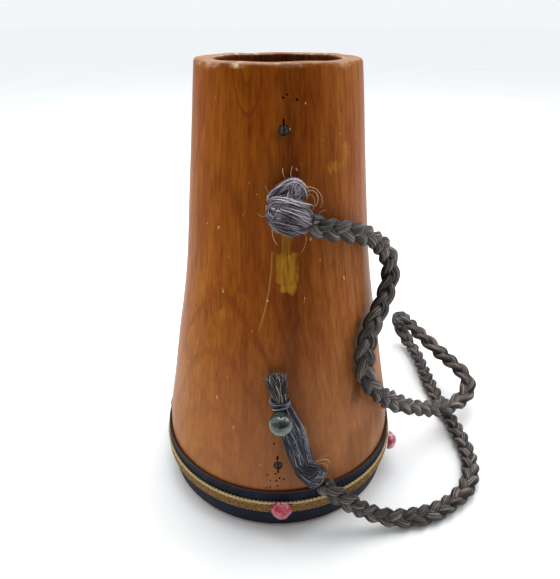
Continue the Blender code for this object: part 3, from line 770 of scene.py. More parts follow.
# painted light: paler towards the underside, which would gather the light of the table
facing_up = add_node(tree, "SeparateXYZ", {
    0: add_node(tree, "NewGeometry", out="Normal")}, out=2)
underside_painted_light = add_node(tree, "MapRange", {0: facing_up, 1: 0.45, 2: -0.45, 3: 0.0, 4: 0.7},
                     interpolation_type="SMOOTHSTEP")
dress(tree, shader, layered(tree, swirl_tone, (underside_painted_light, "84927F")))
steel = cloudy_material("drawn_steel_wire", {"Metallic": 1.0, "Roughness": 0.4},
                        {"Scale": 1500.0, "Detail": 3.0}, [(0.35, "4A4038"), (0.60, "8A8680")])
HEAD_STANDOFFS = (0.0056, 0.0104)
for label, (pin_turn, pin_height, *_), standoff in zip(("upper", "lower"), PINS, HEAD_STANDOFFS):
    # a ball, very slightly drawn out along the pin: rows from the wood outwards
    spin = np.linspace(0.0, 2.0 * np.pi, 48, endpoint=False)
    swing = np.radians(np.linspace(-88.0, 88.0, 30))[:, None]
    # a hundredth out of round, as hand-drawn glass is
    girth = PIN_HEAD_RADIUS * np.cos(swing) * (1.0 + 0.012 * np.cos(2.0 * spin))
    ball_points = standing(pin_turn, pin_height, standoff,
                           PIN_HEAD_RADIUS * np.sin(swing) * np.ones_like(spin),
                           girth * np.cos(spin), girth * np.sin(spin))
    head = make_piece(label + "_glass_head", *closed_tubes(ball_points[None]))
    place_piece(head, head_glass, label + "_pin_head")
    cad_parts[label + "_pin_shank"].material_slots[0].material = steel


# ---- the braided cord ---------------------------------------------------------------------
# Coarse dark horsehair plaited flat from three strands, 7 to 8 mm wide and 54 cm long.  It
# leaves the knot, leans on the right side of the cup, springs clear, comes down to the
# table, folds over itself and comes back to the front.

CORD_ROUTE = np.array((
    (0.0108, -0.0400, 0.1392), (0.0155, -0.0388, 0.1368), (0.0209, -0.0359, 0.1349),
    (0.0270, -0.0322, 0.1327), (0.0333, -0.0260, 0.1290), (0.0390, -0.0190, 0.1238),
    (0.0440, -0.0140, 0.1175), (0.0472, -0.0120, 0.1110), (0.0477, -0.0127, 0.1043),
    (0.0458, -0.0162, 0.0984), (0.0420, -0.0225, 0.0930), (0.0380, -0.0298, 0.0885),
    (0.0359, -0.0343, 0.0826), (0.0356, -0.0364, 0.0760), (0.0371, -0.0366, 0.0690),
    (0.0412, -0.0343, 0.0616), (0.0480, -0.0291, 0.0525), (0.0562, -0.0219, 0.0435),
    (0.0658, -0.0132, 0.0340), (0.0762, -0.0038, 0.0250), (0.0868, 0.0050, 0.0180),
    (0.0968, 0.0133, 0.0138), (0.1040, 0.0196, 0.0135), (0.1082, 0.0255, 0.0145),
    (0.1092, 0.0320, 0.0163), (0.1070, 0.0378, 0.0184), (0.1025, 0.0433, 0.0207),
    (0.0962, 0.0510, 0.0238), (0.0902, 0.0586, 0.0270), (0.0847, 0.0665, 0.0298),
    (0.0812, 0.0750, 0.0308), (0.0803, 0.0838, 0.0287), (0.0810, 0.0910, 0.0232),
    (0.0828, 0.0952, 0.0164), (0.0855, 0.0945, 0.0100), (0.0882, 0.0897, 0.0059),
    (0.0903, 0.0825, 0.0043), (0.0915, 0.0740, 0.0040), (0.0918, 0.0510, 0.0040),
    (0.0927, 0.0345, 0.0040), (0.0942, 0.0210, 0.0040), (0.0960, 0.0080, 0.0040),
    (0.0971, -0.0045, 0.0040), (0.0969, -0.0160, 0.0040), (0.0945, -0.0265, 0.0040),
    (0.0893, -0.0362, 0.0040), (0.0820, -0.0428, 0.0040), (0.0741, -0.0479, 0.0040),
    (0.0651, -0.0516, 0.0042), (0.0562, -0.0539, 0.0052), (0.0485, -0.0552, 0.0075),
    (0.0418, -0.0560, 0.0107), (0.0356, -0.0565, 0.0146), (0.0300, -0.0569, 0.0191),
    (0.0250, -0.0570, 0.0233), (0.0209, -0.0569, 0.0274), (0.0184, -0.0570, 0.0302),
))
STEP = 0.0005
PLAIT_LENGTH = 0.0225           # after which a strand is back on the same side
PLAIT_SWING = 0.0021            # of a strand's middle to either side
PLAIT_LIFT = 0.00130            # of a strand's middle over and under the others
STRAND_HALF_WIDTH = 0.00205
STRAND_HALF_DEPTH = 0.00150
STRAND_COLUMNS = 24


def read_off(spots, places, points):
    """Points at spots, on straight lines between points that stand at places."""
    return np.column_stack([np.interp(spots, places, points[:, axis]) for axis in range(3)])


def run_along(line):
    """How far along the line each of its points is."""
    return np.concatenate(([0.0], np.cumsum(np.linalg.norm(np.diff(line, axis=0), axis=1))))


def even_line(points, step):
    """Points step apart on the smooth curve through points."""
    dense = smooth_curve(points, np.linspace(0.0, 1.0, 6000))
    run = run_along(dense)
    return read_off(np.linspace(0.0, run[-1], int(round(run[-1] / step)) + 1), run, dense)


def side_frame(line, face):
    """Unit directions along the line, towards face and to the side, at each point.

    The second is face less its part along the line; the third is their cross product.
    """
    ahead = unit(np.gradient(line, axis=-2))
    towards = unit(face - (face * ahead).sum(-1, keepdims=True) * ahead)
    return ahead, towards, np.cross(ahead, towards)


def around(line, side, towards, wide, deep, turn):
    """The line plus an ellipse: wide to the side by cos(turn), deep towards by sin(turn)."""
    return line + side * (wide * np.cos(turn))[..., None] + towards * (
        deep * np.sin(turn))[..., None]


def hair_bundle(line, face, half_width, half_depth, columns, random, ridge=0.10):
    """Rings of a bundle of hair carried along line, and where each point lies in it.

    A ring is an ellipse across the line, half_width to the sides and half_depth towards
    face.  Every second point stands out by the share ridge, and all of them drift a little
    along the line, so that the bundle has lengthwise ridges like single hairs.
    """
    _, towards, side = side_frame(line, face)
    rows = len(line)
    spin = np.linspace(0.0, 2.0 * np.pi, columns, endpoint=False)[None, :]
    coarse = random.standard_normal((max(4, rows // 9), columns))
    drift = np.stack([np.interp(np.linspace(0.0, 1.0, rows),
                                np.linspace(0.0, 1.0, len(coarse)), column)
                      for column in coarse.T], axis=1)
    stand = 1.0 + ridge * np.where(np.arange(columns) % 2 == 0, 1.0, -1.0) + 0.04 * drift
    wide = np.reshape(half_width, (-1, 1)) * np.cos(spin) * stand
    deep = np.reshape(half_depth, (-1, 1)) * np.sin(spin) * stand
    # +side, then +towards: anticlockwise seen against the line once side is reversed
    rings = (line[:, None, :] - wide[..., None] * side[:, None, :]
             + deep[..., None] * towards[:, None, :])
    lay = np.stack(np.broadcast_arrays(wide, deep, run_along(line)[:, None]), axis=-1)
    return rings, lay


def tube_lay(lay):
    """Lay values for the points of closed_tubes: the rings' own and their ends' means."""
    count, rows, columns, _ = lay.shape
    ends = lay[:, (0, -1)].mean(axis=2)
    return np.concatenate((lay.reshape(count, rows * columns, 3), ends), axis=1).reshape(-1, 3)


def tube_crease_shade(count, rows, columns):
    """Painted crease shade: 1 at a bundle's two edges and 0 on its middle, the cube of the cosine
    round the ring.
    """
    spin = np.linspace(0.0, 2.0 * np.pi, columns, endpoint=False)
    ring = np.tile(np.abs(np.cos(spin)) ** 3, rows)
    return np.tile(np.concatenate((ring, (0.0, 0.0))), count)


def hair_material(name, shades, roughness):
    """Horsehair: each hair its own shade.

    A hair is 0.2 mm thick; its lines are drawn 0.5 mm apart so that they show.  They run on
    for centimetres, and painted shade darkens each strand's edges, where it dips under the next.
    """
    material, tree, shader = new_material(name, {
        "Roughness": roughness, "IOR": 1.55, "Specular IOR Level": 0.25,
        "Sheen Weight": 0.05, "Sheen Roughness": 0.5})
    lay = add_node(tree, "Attribute", attribute_name="hair_lay", out="Vector")
    lines = stretched_noise(tree, lay, (1900.0, 1900.0, 60.0), 2.0, 0.6)
    tone = add_node(tree, "ValToRGB", {0: lines}, stops=[*zip((0.36, 0.46, 0.56, 0.68), shades)])
    crease_shade = add_node(tree, "Attribute", attribute_name="crease_shade", out="Fac")
    # painted shade: the darkest hair colour over each strand's edges, where it dips under the next
    dress(tree, shader, layered(tree, tone, (all_of(tree, crease_shade, 0.85), shades[0])),
          lines, 0.8, 0.0003)
    return material


def hair_piece(name, rings, lay, material, node=None, crease_shade=None):
    """A piece of closed tubes of hair from rings[k, n, m, 3] and what lies where in them."""
    values = {"hair_lay": tube_lay(lay)}
    if crease_shade is not None:
        values["crease_shade"] = crease_shade
    piece = make_piece(name, *closed_tubes(rings), **values)
    place_piece(piece, material, node)
    return piece


dark_hair = hair_material("dark_horsehair", ("0C0A0D", "2E2927", "574E49", "94887F"), 0.48)
random = np.random.default_rng(41)
centre = even_line(CORD_ROUTE, STEP)
cord_rows = len(centre)
cord_run = np.linspace(0.0, (cord_rows - 1) * STEP, cord_rows)
# the broad side faces away from the cup on the cup, up on the table, turns over in the fold
BROAD_SIDE = (                  # each from its point of the route on
    (4, (0.25, -0.80, 0.40)), (17, (0.30, -0.65, 0.55)), (18, (0.0, -0.50, 0.80)),
    (21, (0.0, -0.20, 1.0)), (30, (0.0, 0.35, 0.95)), (32, (-0.15, 0.85, 0.50)),
    (33, (-0.15, 1.0, 0.10)), (34, (0.0, 0.90, -0.45)), (35, (0.0, 0.55, -0.85)),
    (36, (0.0, 0.0, -1.0)), (47, (0.0, 0.25, -0.95)), (48, (0.0, 0.50, -0.85)),
    (49, (0.0, 0.75, -0.65)), (50, (0.0, 0.90, -0.40)), (52, (0.0, 1.0, 0.0)))
broad_side = CORD_ROUTE * (1.0, 1.0, 0.0)
for first_point, direction in BROAD_SIDE:
    broad_side[first_point:] = direction
broad_side = unit(broad_side)
nearest = np.linalg.norm(centre[None] - CORD_ROUTE[:, None], axis=2).argmin(axis=1)
nearest[0], nearest[-1] = 0, cord_rows - 1
facing = read_off(np.arange(cord_rows), nearest, broad_side)
_, flat_up, flat_side = side_frame(centre, facing)
slack = np.interp(cord_run, np.linspace(0.0, cord_run[-1], 60), random.standard_normal(60))
# the plait is tight near the knot and slacker and longer in the run to the fold
PLAIT_STRETCH = ((0, 1.0), (8, 1.05), (15, 1.15), (18, 1.5), (22, 1.45), (25, 1.15), (36, 1.1),
                 (40, 1.0), (55, 0.95))
stretch_points, stretch_shares = np.array(PLAIT_STRETCH).T
stretch = np.interp(np.interp(np.arange(cord_rows), nearest, np.arange(len(CORD_ROUTE))),
                    stretch_points, stretch_shares)
plait_turns = np.cumsum(STEP / (PLAIT_LENGTH * stretch))
fullness = (1.0 + 0.10 * (stretch - 1.0) + 0.05 * slack)[:, None]
strand_lines, strand_rings, strand_lays = [], [], []
for strand in range(3):
    # plait: sideways by the sine of the phase, over and under by the sine of twice it
    phase = (2.0 * np.pi * (plait_turns + strand / 3.0) + 0.22 * slack)[:, None]
    line = (centre + flat_side * PLAIT_SWING * fullness * np.sin(phase)
            + flat_up * PLAIT_LIFT * np.sin(2.0 * phase))
    rings, lay = hair_bundle(line, facing, STRAND_HALF_WIDTH * fullness,
                             STRAND_HALF_DEPTH * fullness, STRAND_COLUMNS, random)
    lay[..., 0] += 0.02 * strand
    strand_lines.append(line)
    strand_rings.append(rings)
    strand_lays.append(lay)
braid = hair_piece("horsehair_braid", np.stack(strand_rings), np.stack(strand_lays), dark_hair,
                   "cord_braid", tube_crease_shade(3, cord_rows, STRAND_COLUMNS))


def hair_tubes(lines, thickness, random, sides=3):
    """Rings of many single hairs lines[k, n, 3], tapering to both ends, and their lay."""
    ahead = unit(np.gradient(lines, axis=1))
    helper = np.where(np.abs(ahead[..., 2:]) < 0.8, (0.0, 0.0, 1.0), (1.0, 0.0, 0.0))
    across = unit(np.cross(ahead, helper))
    upwards = np.cross(ahead, across)
    spin = np.linspace(0.0, 2.0 * np.pi, sides, endpoint=False)
    along = np.linspace(0.0, 1.0, lines.shape[1])
    taper = np.minimum(1.0, 5.0 * (1.0 - along) + 0.25)
    radius = np.reshape(thickness, (-1, 1, 1)) / 2.0 * taper[None, :, None]
    rings = (lines[:, :, None, :] + across[:, :, None, :] * (radius * np.cos(spin))[..., None]
             + upwards[:, :, None, :] * (radius * np.sin(spin))[..., None])
    shade = random.random(len(lines))[:, None, None] * 0.05
    run = along[None, :, None] * 0.01 * np.ones((len(lines), 1, sides))
    lay = np.stack(np.broadcast_arrays(shade, 0.5 * shade, run), axis=-1)
    return rings, lay


# stray hairs: each follows a strand for 5 to 14 mm and lifts off it towards its end
STRAYS = 620
STRAY_POINTS = 9
stray_strand = random.integers(0, 3, STRAYS)[:, None]
stray_length = random.uniform(0.005, 0.014, STRAYS)
stray_start = random.uniform(0.0, cord_run[-1] - 0.016, STRAYS)
stray_spin = random.uniform(0.0, 2.0 * np.pi, STRAYS)
stray_lift = random.uniform(0.0001, 0.0014, STRAYS) * random.uniform(0.2, 1.0, STRAYS)
way = np.linspace(0.0, 1.0, STRAY_POINTS)[None, :]
spot = (stray_start[:, None] + stray_length[:, None] * way) / STEP
row = np.clip(spot.astype(int), 0, cord_rows - 2)
between = (spot - row)[..., None]
all_lines = np.stack(strand_lines)
base = (all_lines[stray_strand, row] * (1.0 - between)
        + all_lines[stray_strand, row + 1] * between)
spin = stray_spin[:, None] + 0.5 * way
lift = 1.02 + (stray_lift[:, None] / STRAND_HALF_DEPTH) * way ** 2
strays = around(base, flat_side[row], flat_up[row], STRAND_HALF_WIDTH * lift,
                STRAND_HALF_DEPTH * lift, spin)
strays[..., 2] = np.maximum(strays[..., 2], 0.0003)
rings, lay = hair_tubes(strays, random.uniform(0.00010, 0.00020, STRAYS), random)
stray_hair = hair_material("stray_horsehair", ("2A2624", "5E5652", "8E847C", "B9AEA4"), 0.5)
fuzz = hair_piece("braid_stray_hairs", rings, lay, stray_hair)


# ---- the knot at the upper end ------------------------------------------------------------
# The cord's hair is turned over itself and tucked under in a loose overhand knot against the
# cup; it is lighter and frayed where it has been handled.

pale_hair = hair_material("bleached_horsehair", ("0A080E", "262029", "625963", "C6BEC8"), 0.5)
KNOT_TURN = 4.0
KNOT_HEIGHT = 0.1475
# each turn of the knot: points as (mm to the right, mm up, mm from the wood), widths in mm
KNOT_TURNS = (
    (((-3.4, -3.6, 1.5), (-3.8, 0.4, 3.6), (-1.2, 3.4, 5.0), (2.4, 5.2, 5.4), (4.4, 2.6, 4.4),
      (4.6, -2.0, 2.5)), 1.8, 1.4),
    (((0.2, -2.2, 7.0), (1.0, 1.0, 8.0), (2.4, 4.2, 6.6), (3.3, 5.6, 4.0), (3.6, 5.2, 1.2)),
     1.6, 1.1),
    (((-4.2, -3.0, 2.5), (-3.2, -0.2, 6.6), (-0.2, 0.4, 9.8), (3.2, -1.2, 10.2),
      (6.0, -4.0, 7.6), (7.4, -6.8, 5.2)), 1.7, 1.4),
    (((-4.4, -5.0, 2.0), (-3.2, -2.4, 7.0), (-0.4, -2.2, 11.4), (2.8, -4.2, 12.0),
      (5.4, -6.8, 8.4), (7.0, -8.6, 5.2)), 1.8, 1.4),
    (((-4.6, -2.0, 2.0), (-4.5, -4.8, 6.0), (-2.6, -5.8, 10.4), (0.4, -6.6, 12.2),
      (3.8, -8.8, 9.8), (6.4, -9.8, 6.0)), 2.0, 1.3),
    (((1.0, 2.0, 8.4), (-1.2, -0.2, 10.4), (-2.4, -3.2, 11.6), (-3.8, -5.8, 9.0),
      (-4.4, -7.0, 4.0)), 1.3, 0.8),
    (((3.6, 0.0, 8.8), (1.6, -1.8, 12.0), (0.4, -4.4, 13.2), (-0.6, -6.6, 11.8),
      (-1.4, -7.8, 9.0)), 0.8, 0.5),
)


def knot_place(points):
    """World points from (right, up, out) in millimetres about the knot on the cup."""
    points = np.asarray(points, dtype=float) / 1000.0
    turn = KNOT_TURN + np.degrees(points[..., 0] / float(outside_radius(KNOT_HEIGHT)))
    return on_cup(turn, KNOT_HEIGHT + points[..., 1], points[..., 2])


KNOT_ROWS = 40
KNOT_COLUMNS = 26
knot_rings, knot_lays = [], []
for points, half_width, half_depth in KNOT_TURNS:
    line = smooth_curve(knot_place(points), np.linspace(0.0, 1.0, KNOT_ROWS))
    # the broad side lies on the knot: it faces away from a point deep under it
    face = line - (knot_place((0.0, -1.0, -4.0)))[None, :]
    swell = 1.0 - 0.35 * np.abs(np.linspace(-1.0, 1.0, KNOT_ROWS)) ** 3
    rings, lay = hair_bundle(line, face, half_width / 1000.0 * swell,
                             half_depth / 1000.0 * swell, KNOT_COLUMNS, random, ridge=0.13)
    lay[..., 1] += 0.01 * len(knot_rings)
    knot_rings.append(rings)
    knot_lays.append(lay)
knot_array = np.stack(knot_rings)
knot = hair_piece("frayed_upper_knot", knot_array, np.stack(knot_lays), pale_hair, "upper_knot",
                  tube_crease_shade(len(KNOT_TURNS), KNOT_ROWS, KNOT_COLUMNS))

# hairs that lie over the knot's turns, and a few that have sprung out in loops
KNOT_HAIRS = 900
pick = random.integers(0, len(KNOT_TURNS) - 1, KNOT_HAIRS)[:, None]
column = random.integers(0, KNOT_COLUMNS, KNOT_HAIRS)[:, None]
first = random.uniform(0.0, 14.0, KNOT_HAIRS)
length = random.uniform(12.0, 24.0, KNOT_HAIRS)
way = np.linspace(0.0, 1.0, 10)[None, :]
row = np.clip(first[:, None] + length[:, None] * way, 0, KNOT_ROWS - 1.01)
whole = row.astype(int)
part = (row - whole)[..., None]
lying = (knot_array[pick, whole, column] * (1.0 - part)
         + knot_array[pick, whole + 1, column] * part)
centre_line = knot_array[pick, whole].mean(axis=2)
spring = random.uniform(0.02, 0.75, KNOT_HAIRS)[:, None] ** 2 * (way - 0.1) * 1.6
lying = lying + (lying - centre_line) * (0.04 + np.abs(spring))[..., None]
# each hair drifts a little to one side of its turn, so that they cross
lying += 0.0007 * random.standard_normal((KNOT_HAIRS, 1, 3)) * (way[..., None] - 0.5)
rings, lay = hair_tubes(lying, random.uniform(0.00016, 0.00032, KNOT_HAIRS), random)
white_hair = hair_material("sun_bleached_hairs", ("1A161C", "5E565E", "AEA6B0", "F0EAF0"), 0.5)
knot_fray = hair_piece("knot_stray_hairs", rings, lay, white_hair)

LOOPS = (
    ((4.4, 2.0, 5.4), (8.0, 3.2, 6.4), (9.6, 0.0, 6.0), (8.8, -3.0, 5.0), (7.4, -5.0, 4.0)),
    ((3.8, 4.0, 5.0), (7.8, 4.4, 6.4), (10.4, 1.2, 6.6), (10.8, -2.4, 5.4), (9.0, -5.4, 4.0)),
    ((-4.0, 1.0, 5.0), (-5.4, 2.6, 4.6), (-6.2, 3.8, 3.6), (-6.6, 4.4, 2.8)),
    ((-3.8, -7.4, 5.0), (-4.2, -10.6, 4.6), (-3.8, -14.0, 3.6), (-2.4, -17.4, 1.6)),
    ((5.0, -10.0, 4.4), (6.2, -13.4, 4.2), (6.0, -17.2, 3.4), (5.4, -20.4, 1.6)),
    ((2.2, 6.8, 3.0), (1.6, 8.6, 3.4), (2.0, 10.0, 2.8), (2.4, 10.8, 2.0)),
    ((0.2, 6.4, 3.0), (-0.6, 7.8, 3.6), (-0.9, 9.2, 3.0), (-0.8, 10.2, 2.0)),
    ((-5.0, -4.6, 5.0), (-6.4, -5.6, 4.8), (-7.8, -5.8, 3.8), (-9.0, -5.4, 2.8)),
    ((8.4, -7.0, 5.0), (10.8, -5.0, 4.8), (12.6, -4.8, 4.2), (13.8, -5.8, 3.0)),
    ((4.4, 1.4, 6.0), (7.0, 2.2, 7.0), (8.4, -0.6, 6.4), (8.0, -3.6, 5.2)),
)
loop_lines = np.stack([smooth_curve(knot_place(points), np.linspace(0.0, 1.0, 18))
                       for points in LOOPS])
rings, lay = hair_tubes(loop_lines, 0.00020, random, sides=4)
blond_hair = hair_material("blond_hair_tips", ("8A6A4C", "B08C6A", "CDAE8C", "E6D2B8"), 0.5)
knot_loops = hair_piece("knot_sprung_hairs", rings, lay, blond_hair)


# ---- the whipping, the loose end and the brush --------------------------------------------
# Where the plait ends its hair is whipped, runs on loose up the front, passes under the
# lower pin's head, is bound once more and ends as a small frayed brush.

TAIL_ROUTE = np.array(((16.8, 0.0318), (13.0, 0.0362), (10.4, 0.0409), (8.8, 0.0464),
                       (7.2, 0.0522), (5.2, 0.0578), (3.0, 0.0628), (1.4, 0.0668),
                       (0.5, 0.0711), (-0.3, 0.0757), (-1.4, 0.0815)))
TAIL_STANDOFF = 0.0043
WHIPPING_LENGTH = 0.0075
WRAP_START = 0.0394             # along the loose end, just above the lower pin's head
WRAP_LENGTH = 0.0034
TAIL_STEP = 0.0004
tail_line = even_line(on_cup(TAIL_ROUTE[:, 0], TAIL_ROUTE[:, 1], TAIL_STANDOFF), TAIL_STEP)
tail_run = np.arange(len(tail_line)) * TAIL_STEP


def tail_part(start, end, count):
    """count points of the loose end's line and its outward directions, start to end."""
    line = read_off(np.linspace(start, end, count), tail_run, tail_line)
    return line, unit(line * (1.0, 1.0, 0.0))


def wound(start, end, turns, half_width, half_depth, thickness, random):
    """A lock of hair wound round the loose end from start to end, as one helix.

    The helix is the line plus an ellipse turned steadily: half_width to the side by the
    cosine and half_depth outwards by the sine of the turn.
    """
    line, face = tail_part(start, end, turns * 36)
    ahead, towards, side = side_frame(line, face)
    spin = np.linspace(0.0, 2.0 * np.pi * turns, turns * 36)[:, None]
    uneven = 1.0 + 0.05 * np.interp(spin, np.linspace(0.0, spin[-1, 0], 5 * turns),
                                    random.standard_normal(5 * turns))
    slip = ahead * 0.0005 * np.sin(0.83 * spin + 1.0)
    helix = (line + slip + side * half_width * uneven * np.cos(spin)
             + towards * half_depth * uneven * np.sin(spin))
    return hair_bundle(helix, helix - line, thickness / 2.0, thickness * 0.36, 14, random, 0.10)


core_line, core_face = tail_part(0.0, WHIPPING_LENGTH + 0.001, 24)
whipping_core = hair_bundle(core_line, core_face, 0.0037, 0.0029, 26, random)
whipping_wound = wound(0.0002, WHIPPING_LENGTH, 5, 0.0039, 0.0031, 0.0021, random)
# hairs of the plait that lie slantwise over the whipping and hide most of it
OVER_HAIRS = 260
OVER_HALF_WIDTH = 0.0042
OVER_HALF_DEPTH = 0.0034
over_start = random.uniform(0.0, 0.003, OVER_HAIRS)[:, None]
over_length = random.uniform(0.006, 0.012, OVER_HAIRS)[:, None]
over_along = over_start + over_length * np.linspace(0.0, 1.0, 10)[None, :]
over_turn = (random.uniform(0.0, 2.0 * np.pi, OVER_HAIRS)[:, None]
             + random.uniform(0.2, 1.1, OVER_HAIRS)[:, None] * np.linspace(-1.0, 1.0, 10))
over_lift = random.uniform(1.04, 1.22, OVER_HAIRS)[:, None] * (
    1.0 - 0.22 * ease(over_along, WHIPPING_LENGTH, 0.013))
over_line, over_face = tail_part(0.0, 0.016, 161)
_, over_out, over_side = side_frame(over_line, over_face)
over_row = np.clip(np.round(over_along / 0.0001).astype(int), 0, 160)
over_hairs = around(over_line[over_row], over_side[over_row], over_out[over_row],
                    OVER_HALF_WIDTH * over_lift, OVER_HALF_DEPTH * over_lift, over_turn)
over = hair_tubes(over_hairs, random.uniform(0.00020, 0.00038, OVER_HAIRS), random)


def joined_piece(name, bundles, material, node):
    """One piece from several groups of tubes, each its rings[k, n, m, 3] and their lay."""
    points, quads, triangles = zip(*(closed_tubes(rings) for rings, _ in bundles))
    shifts = np.concatenate(([0], np.cumsum([len(group) for group in points])))
    piece = make_piece(name, np.concatenate(points),
                       np.concatenate([faces + shift for faces, shift in zip(quads, shifts)]),
                       np.concatenate([faces + shift for faces, shift in zip(triangles, shifts)]),
                       hair_lay=np.concatenate([tube_lay(lay) for _, lay in bundles]))
    place_piece(piece, material, node)
    return piece


def alone(bundle):
    """The rings and the lay of one bundle as a group of one tube."""
    return bundle[0][None], bundle[1][None]


grey_hair = hair_material("blue_grey_horsehair", ("07070D", "181922", "42434F", "B4B2BC"), 0.5)
whipping = joined_piece("hair_whipping", (alone(whipping_core), alone(whipping_wound), over),
                        grey_hair, "whipping")

# the loose end: a dark core and long hairs side by side on its outside
LOOSE_HAIRS = 360
LOOSE_ROWS = 70
LOOSE_HALF_WIDTH = 0.0037
LOOSE_HALF_DEPTH = 0.0023
body_line, body_face = tail_part(WHIPPING_LENGTH - 0.001, WRAP_START + 0.001, LOOSE_ROWS)
share = np.linspace(0.0, 1.0, LOOSE_ROWS)
waist = 0.94 + 0.30 * np.sin(np.pi * share) ** 0.8 - 0.16 * share
core = hair_bundle(body_line, body_face, 0.0036 * waist, 0.0022 * waist, 28, random, 0.12)
_, towards, side = side_frame(body_line, body_face)
place_in = random.uniform(0.0, 2.0 * np.pi, LOOSE_HAIRS)
inset = random.uniform(0.96, 1.16, LOOSE_HAIRS)
pick_rows = np.linspace(0, LOOSE_ROWS - 1, 14).astype(int)
roam = (place_in[:, None] + 0.45 * random.standard_normal(LOOSE_HAIRS)[:, None]
        * np.linspace(-1.0, 1.0, 14)[None, :])
width = LOOSE_HALF_WIDTH * waist[pick_rows] * inset[:, None]
depth = LOOSE_HALF_DEPTH * waist[pick_rows] * inset[:, None]
hairs = around(body_line[pick_rows], side[pick_rows], towards[pick_rows], width, depth, roam)
loose = hair_tubes(hairs, random.uniform(0.00018, 0.00036, LOOSE_HAIRS), random)
loose_end = joined_piece("loose_hair_end", (alone(core), loose), grey_hair, "cord_tail")

wrap_wound = wound(WRAP_START, WRAP_START + WRAP_LENGTH, 4, 0.0035, 0.0028, 0.0013, random)
binding = hair_piece("hair_binding", *alone(wrap_wound), grey_hair, "hair_wrap")

# the brush: hairs that spread from the binding, of all lengths, some curling
BRUSH_HAIRS = 520
BRUSH_POINTS = 14
brush_line, brush_face = tail_part(WRAP_START + 0.002, tail_run[-1], BRUSH_POINTS)
_, towards, side = side_frame(brush_line, brush_face)
ring_turn = random.uniform(0.0, 2.0 * np.pi, BRUSH_HAIRS)[:, None]
ring_share = np.sqrt(random.random(BRUSH_HAIRS))[:, None]
reach = random.uniform(0.55, 1.0, BRUSH_HAIRS)[:, None]
grow = np.linspace(0.0, 1.0, BRUSH_POINTS)[None, :] * reach
fan = 0.0030 + random.uniform(0.0004, 0.0026, BRUSH_HAIRS)[:, None] * grow ** 1.2
bend = random.uniform(0.0, 2.0 * np.pi, BRUSH_HAIRS)[:, None]
curl = 0.0007 * np.sin(bend + 5.0 * grow) * grow
at = grow * (BRUSH_POINTS - 1)
whole = np.clip(at.astype(int), 0, BRUSH_POINTS - 2)
part = (at - whole)[..., None]
stem = brush_line[whole] * (1.0 - part) + brush_line[whole + 1] * part
hairs = (stem + side[whole] * (fan * ring_share * np.cos(ring_turn) + curl)[..., None]
         + towards[whole] * (0.8 * fan * ring_share * np.sin(ring_turn))[..., None])
rings, lay = hair_tubes(hairs, random.uniform(0.00018, 0.00036, BRUSH_HAIRS), random)
brush_hair = hair_material("frayed_hair_ends", ("0C0A0E", "2C282B", "6E6664", "D2C6B6"), 0.5)
brush = hair_piece("frayed_brush_end", rings, lay, brush_hair, "brush_end")

# brown hairs that have sprung out of the whipping in loops: (mm right, mm up, mm out)
TAIL_LOOPS = (
    ((-0.7, 4.0, 5.0), (3.8, 6.4, 5.6), (8.6, 6.4, 5.0), (9.8, 1.0, 4.4), (7.0, -5.0, 3.6)),
    ((-1.2, 3.0, 5.6), (2.6, 5.8, 6.4), (6.8, 5.0, 5.6), (8.0, 0.4, 4.6), (5.8, -4.2, 3.8)),
    ((0.4, 3.4, 4.6), (3.0, 4.6, 6.0), (5.6, 3.6, 5.8), (7.0, 1.4, 5.0), (7.6, -1.6, 4.0)),
    ((0.0, 2.6, 5.4), (2.0, 3.8, 6.6), (4.6, 3.8, 6.2), (7.4, 2.6, 5.2), (9.0, -0.4, 4.2)),
    ((-9.6, 23.0, 4.0), (-6.2, 24.2, 4.6), (-1.6, 21.0, 4.0), (-0.4, 17.0, 3.0),
     (-1.4, 13.6, 1.4)),
)


def tail_place(points):
    """World points from (right, up, out) in millimetres about the whipping."""
    points = np.asarray(points, dtype=float) / 1000.0
    heights = TAIL_ROUTE[1, 1] + points[..., 1]
    return on_cup(TAIL_ROUTE[1, 0] + np.degrees(points[..., 0] / outside_radius(heights)),
                  heights, points[..., 2])


loop_lines = np.stack([smooth_curve(tail_place(points), np.linspace(0.0, 1.0, 24))
                       for points in TAIL_LOOPS])
rings, lay = hair_tubes(loop_lines, 0.00024, random, sides=4)
brown_hair = hair_material("red_brown_hairs", ("6A3A20", "8E5434", "B07C54", "CFA480"), 0.5)
tail_loops = hair_piece("whipping_sprung_hairs", rings, lay, brown_hair)


# ---- floor and light ----------------------------------------------------------------------
# A plain white table and soft white light from a broad lamp above and a little behind.

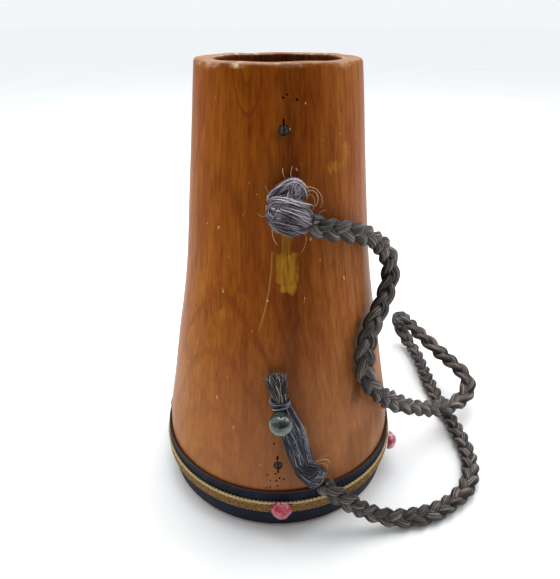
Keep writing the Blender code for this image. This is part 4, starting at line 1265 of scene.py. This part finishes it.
FLOOR_HALF = 12.0
floor_mesh = bpy.data.meshes.new("floor")
corners = [(FLOOR_HALF * x, FLOOR_HALF * y, 0.0) for x, y in ((-1, -1), (1, -1), (1, 1), (-1, 1))]
floor_mesh.from_pydata(corners, [], [(0, 1, 2, 3)])
floor = bpy.data.objects.new("floor", floor_mesh)
bpy.context.scene.collection.objects.link(floor)
floor_mesh.materials.append(cloudy_material(
    "matt_white_paper", {"Roughness": 0.9, "Specular IOR Level": 0.2},
    {"Scale": 6.0, "Detail": 2.0}, [(0.3, "EFF0F1"), (0.7, "F2F3F4")]))

# the room is white overhead, at the sides and behind, and dim on the side of the viewer
world = bpy.data.worlds.new("soft_white_room")
world.use_nodes = True
tree = world.node_tree
sky = add_node(tree, "TexCoord", out="Generated")
frontness = add_node(tree, "VectorMath", {0: sky, 1: (0.0, -1.0, 0.0)}, operation="DOT_PRODUCT")
room_light = add_node(tree, "MapRange", {0: frontness, 1: -0.1, 2: 0.75, 3: 1.0, 4: 0.25},
                      interpolation_type="SMOOTHSTEP")
height = add_node(tree, "SeparateXYZ", {0: sky}, out=2)
ceiling = add_node(tree, "MapRange", {0: height, 1: 0.0, 2: 0.9, 3: 0.75, 4: 1.65})
strength = add_node(tree, "Mix", {0: add_node(tree, "LightPath", out="Is Camera Ray"),
                                  2: all_of(tree, room_light, ceiling), 3: 1.0})
air = tree.nodes["Background"]
air.inputs[0].default_value = (0.90, 0.925, 0.935, 1.0)
tree.links.new(strength, air.inputs[1])
bpy.context.scene.world = world
LAMPS = (("lamp_above", (0.05, 0.30, 1.0), 0.9, 8.0), ("lamp_right", (0.9, 0.2, 0.7), 0.6, 2.5))
for label, spot, size, watts in LAMPS:
    lamp = bpy.data.lights.new(label, "AREA")
    lamp.size = size
    lamp.energy = watts
    holder = bpy.data.objects.new(label, lamp)
    holder.location = spot
    towards_cup = np.array((0.0, 0.0, 0.08)) - np.array(spot)
    level = math.hypot(towards_cup[0], towards_cup[1])
    holder.rotation_euler = (math.atan2(level, -towards_cup[2]), 0.0,
                             math.atan2(-towards_cup[0], towards_cup[1]))
    bpy.context.scene.collection.objects.link(holder)
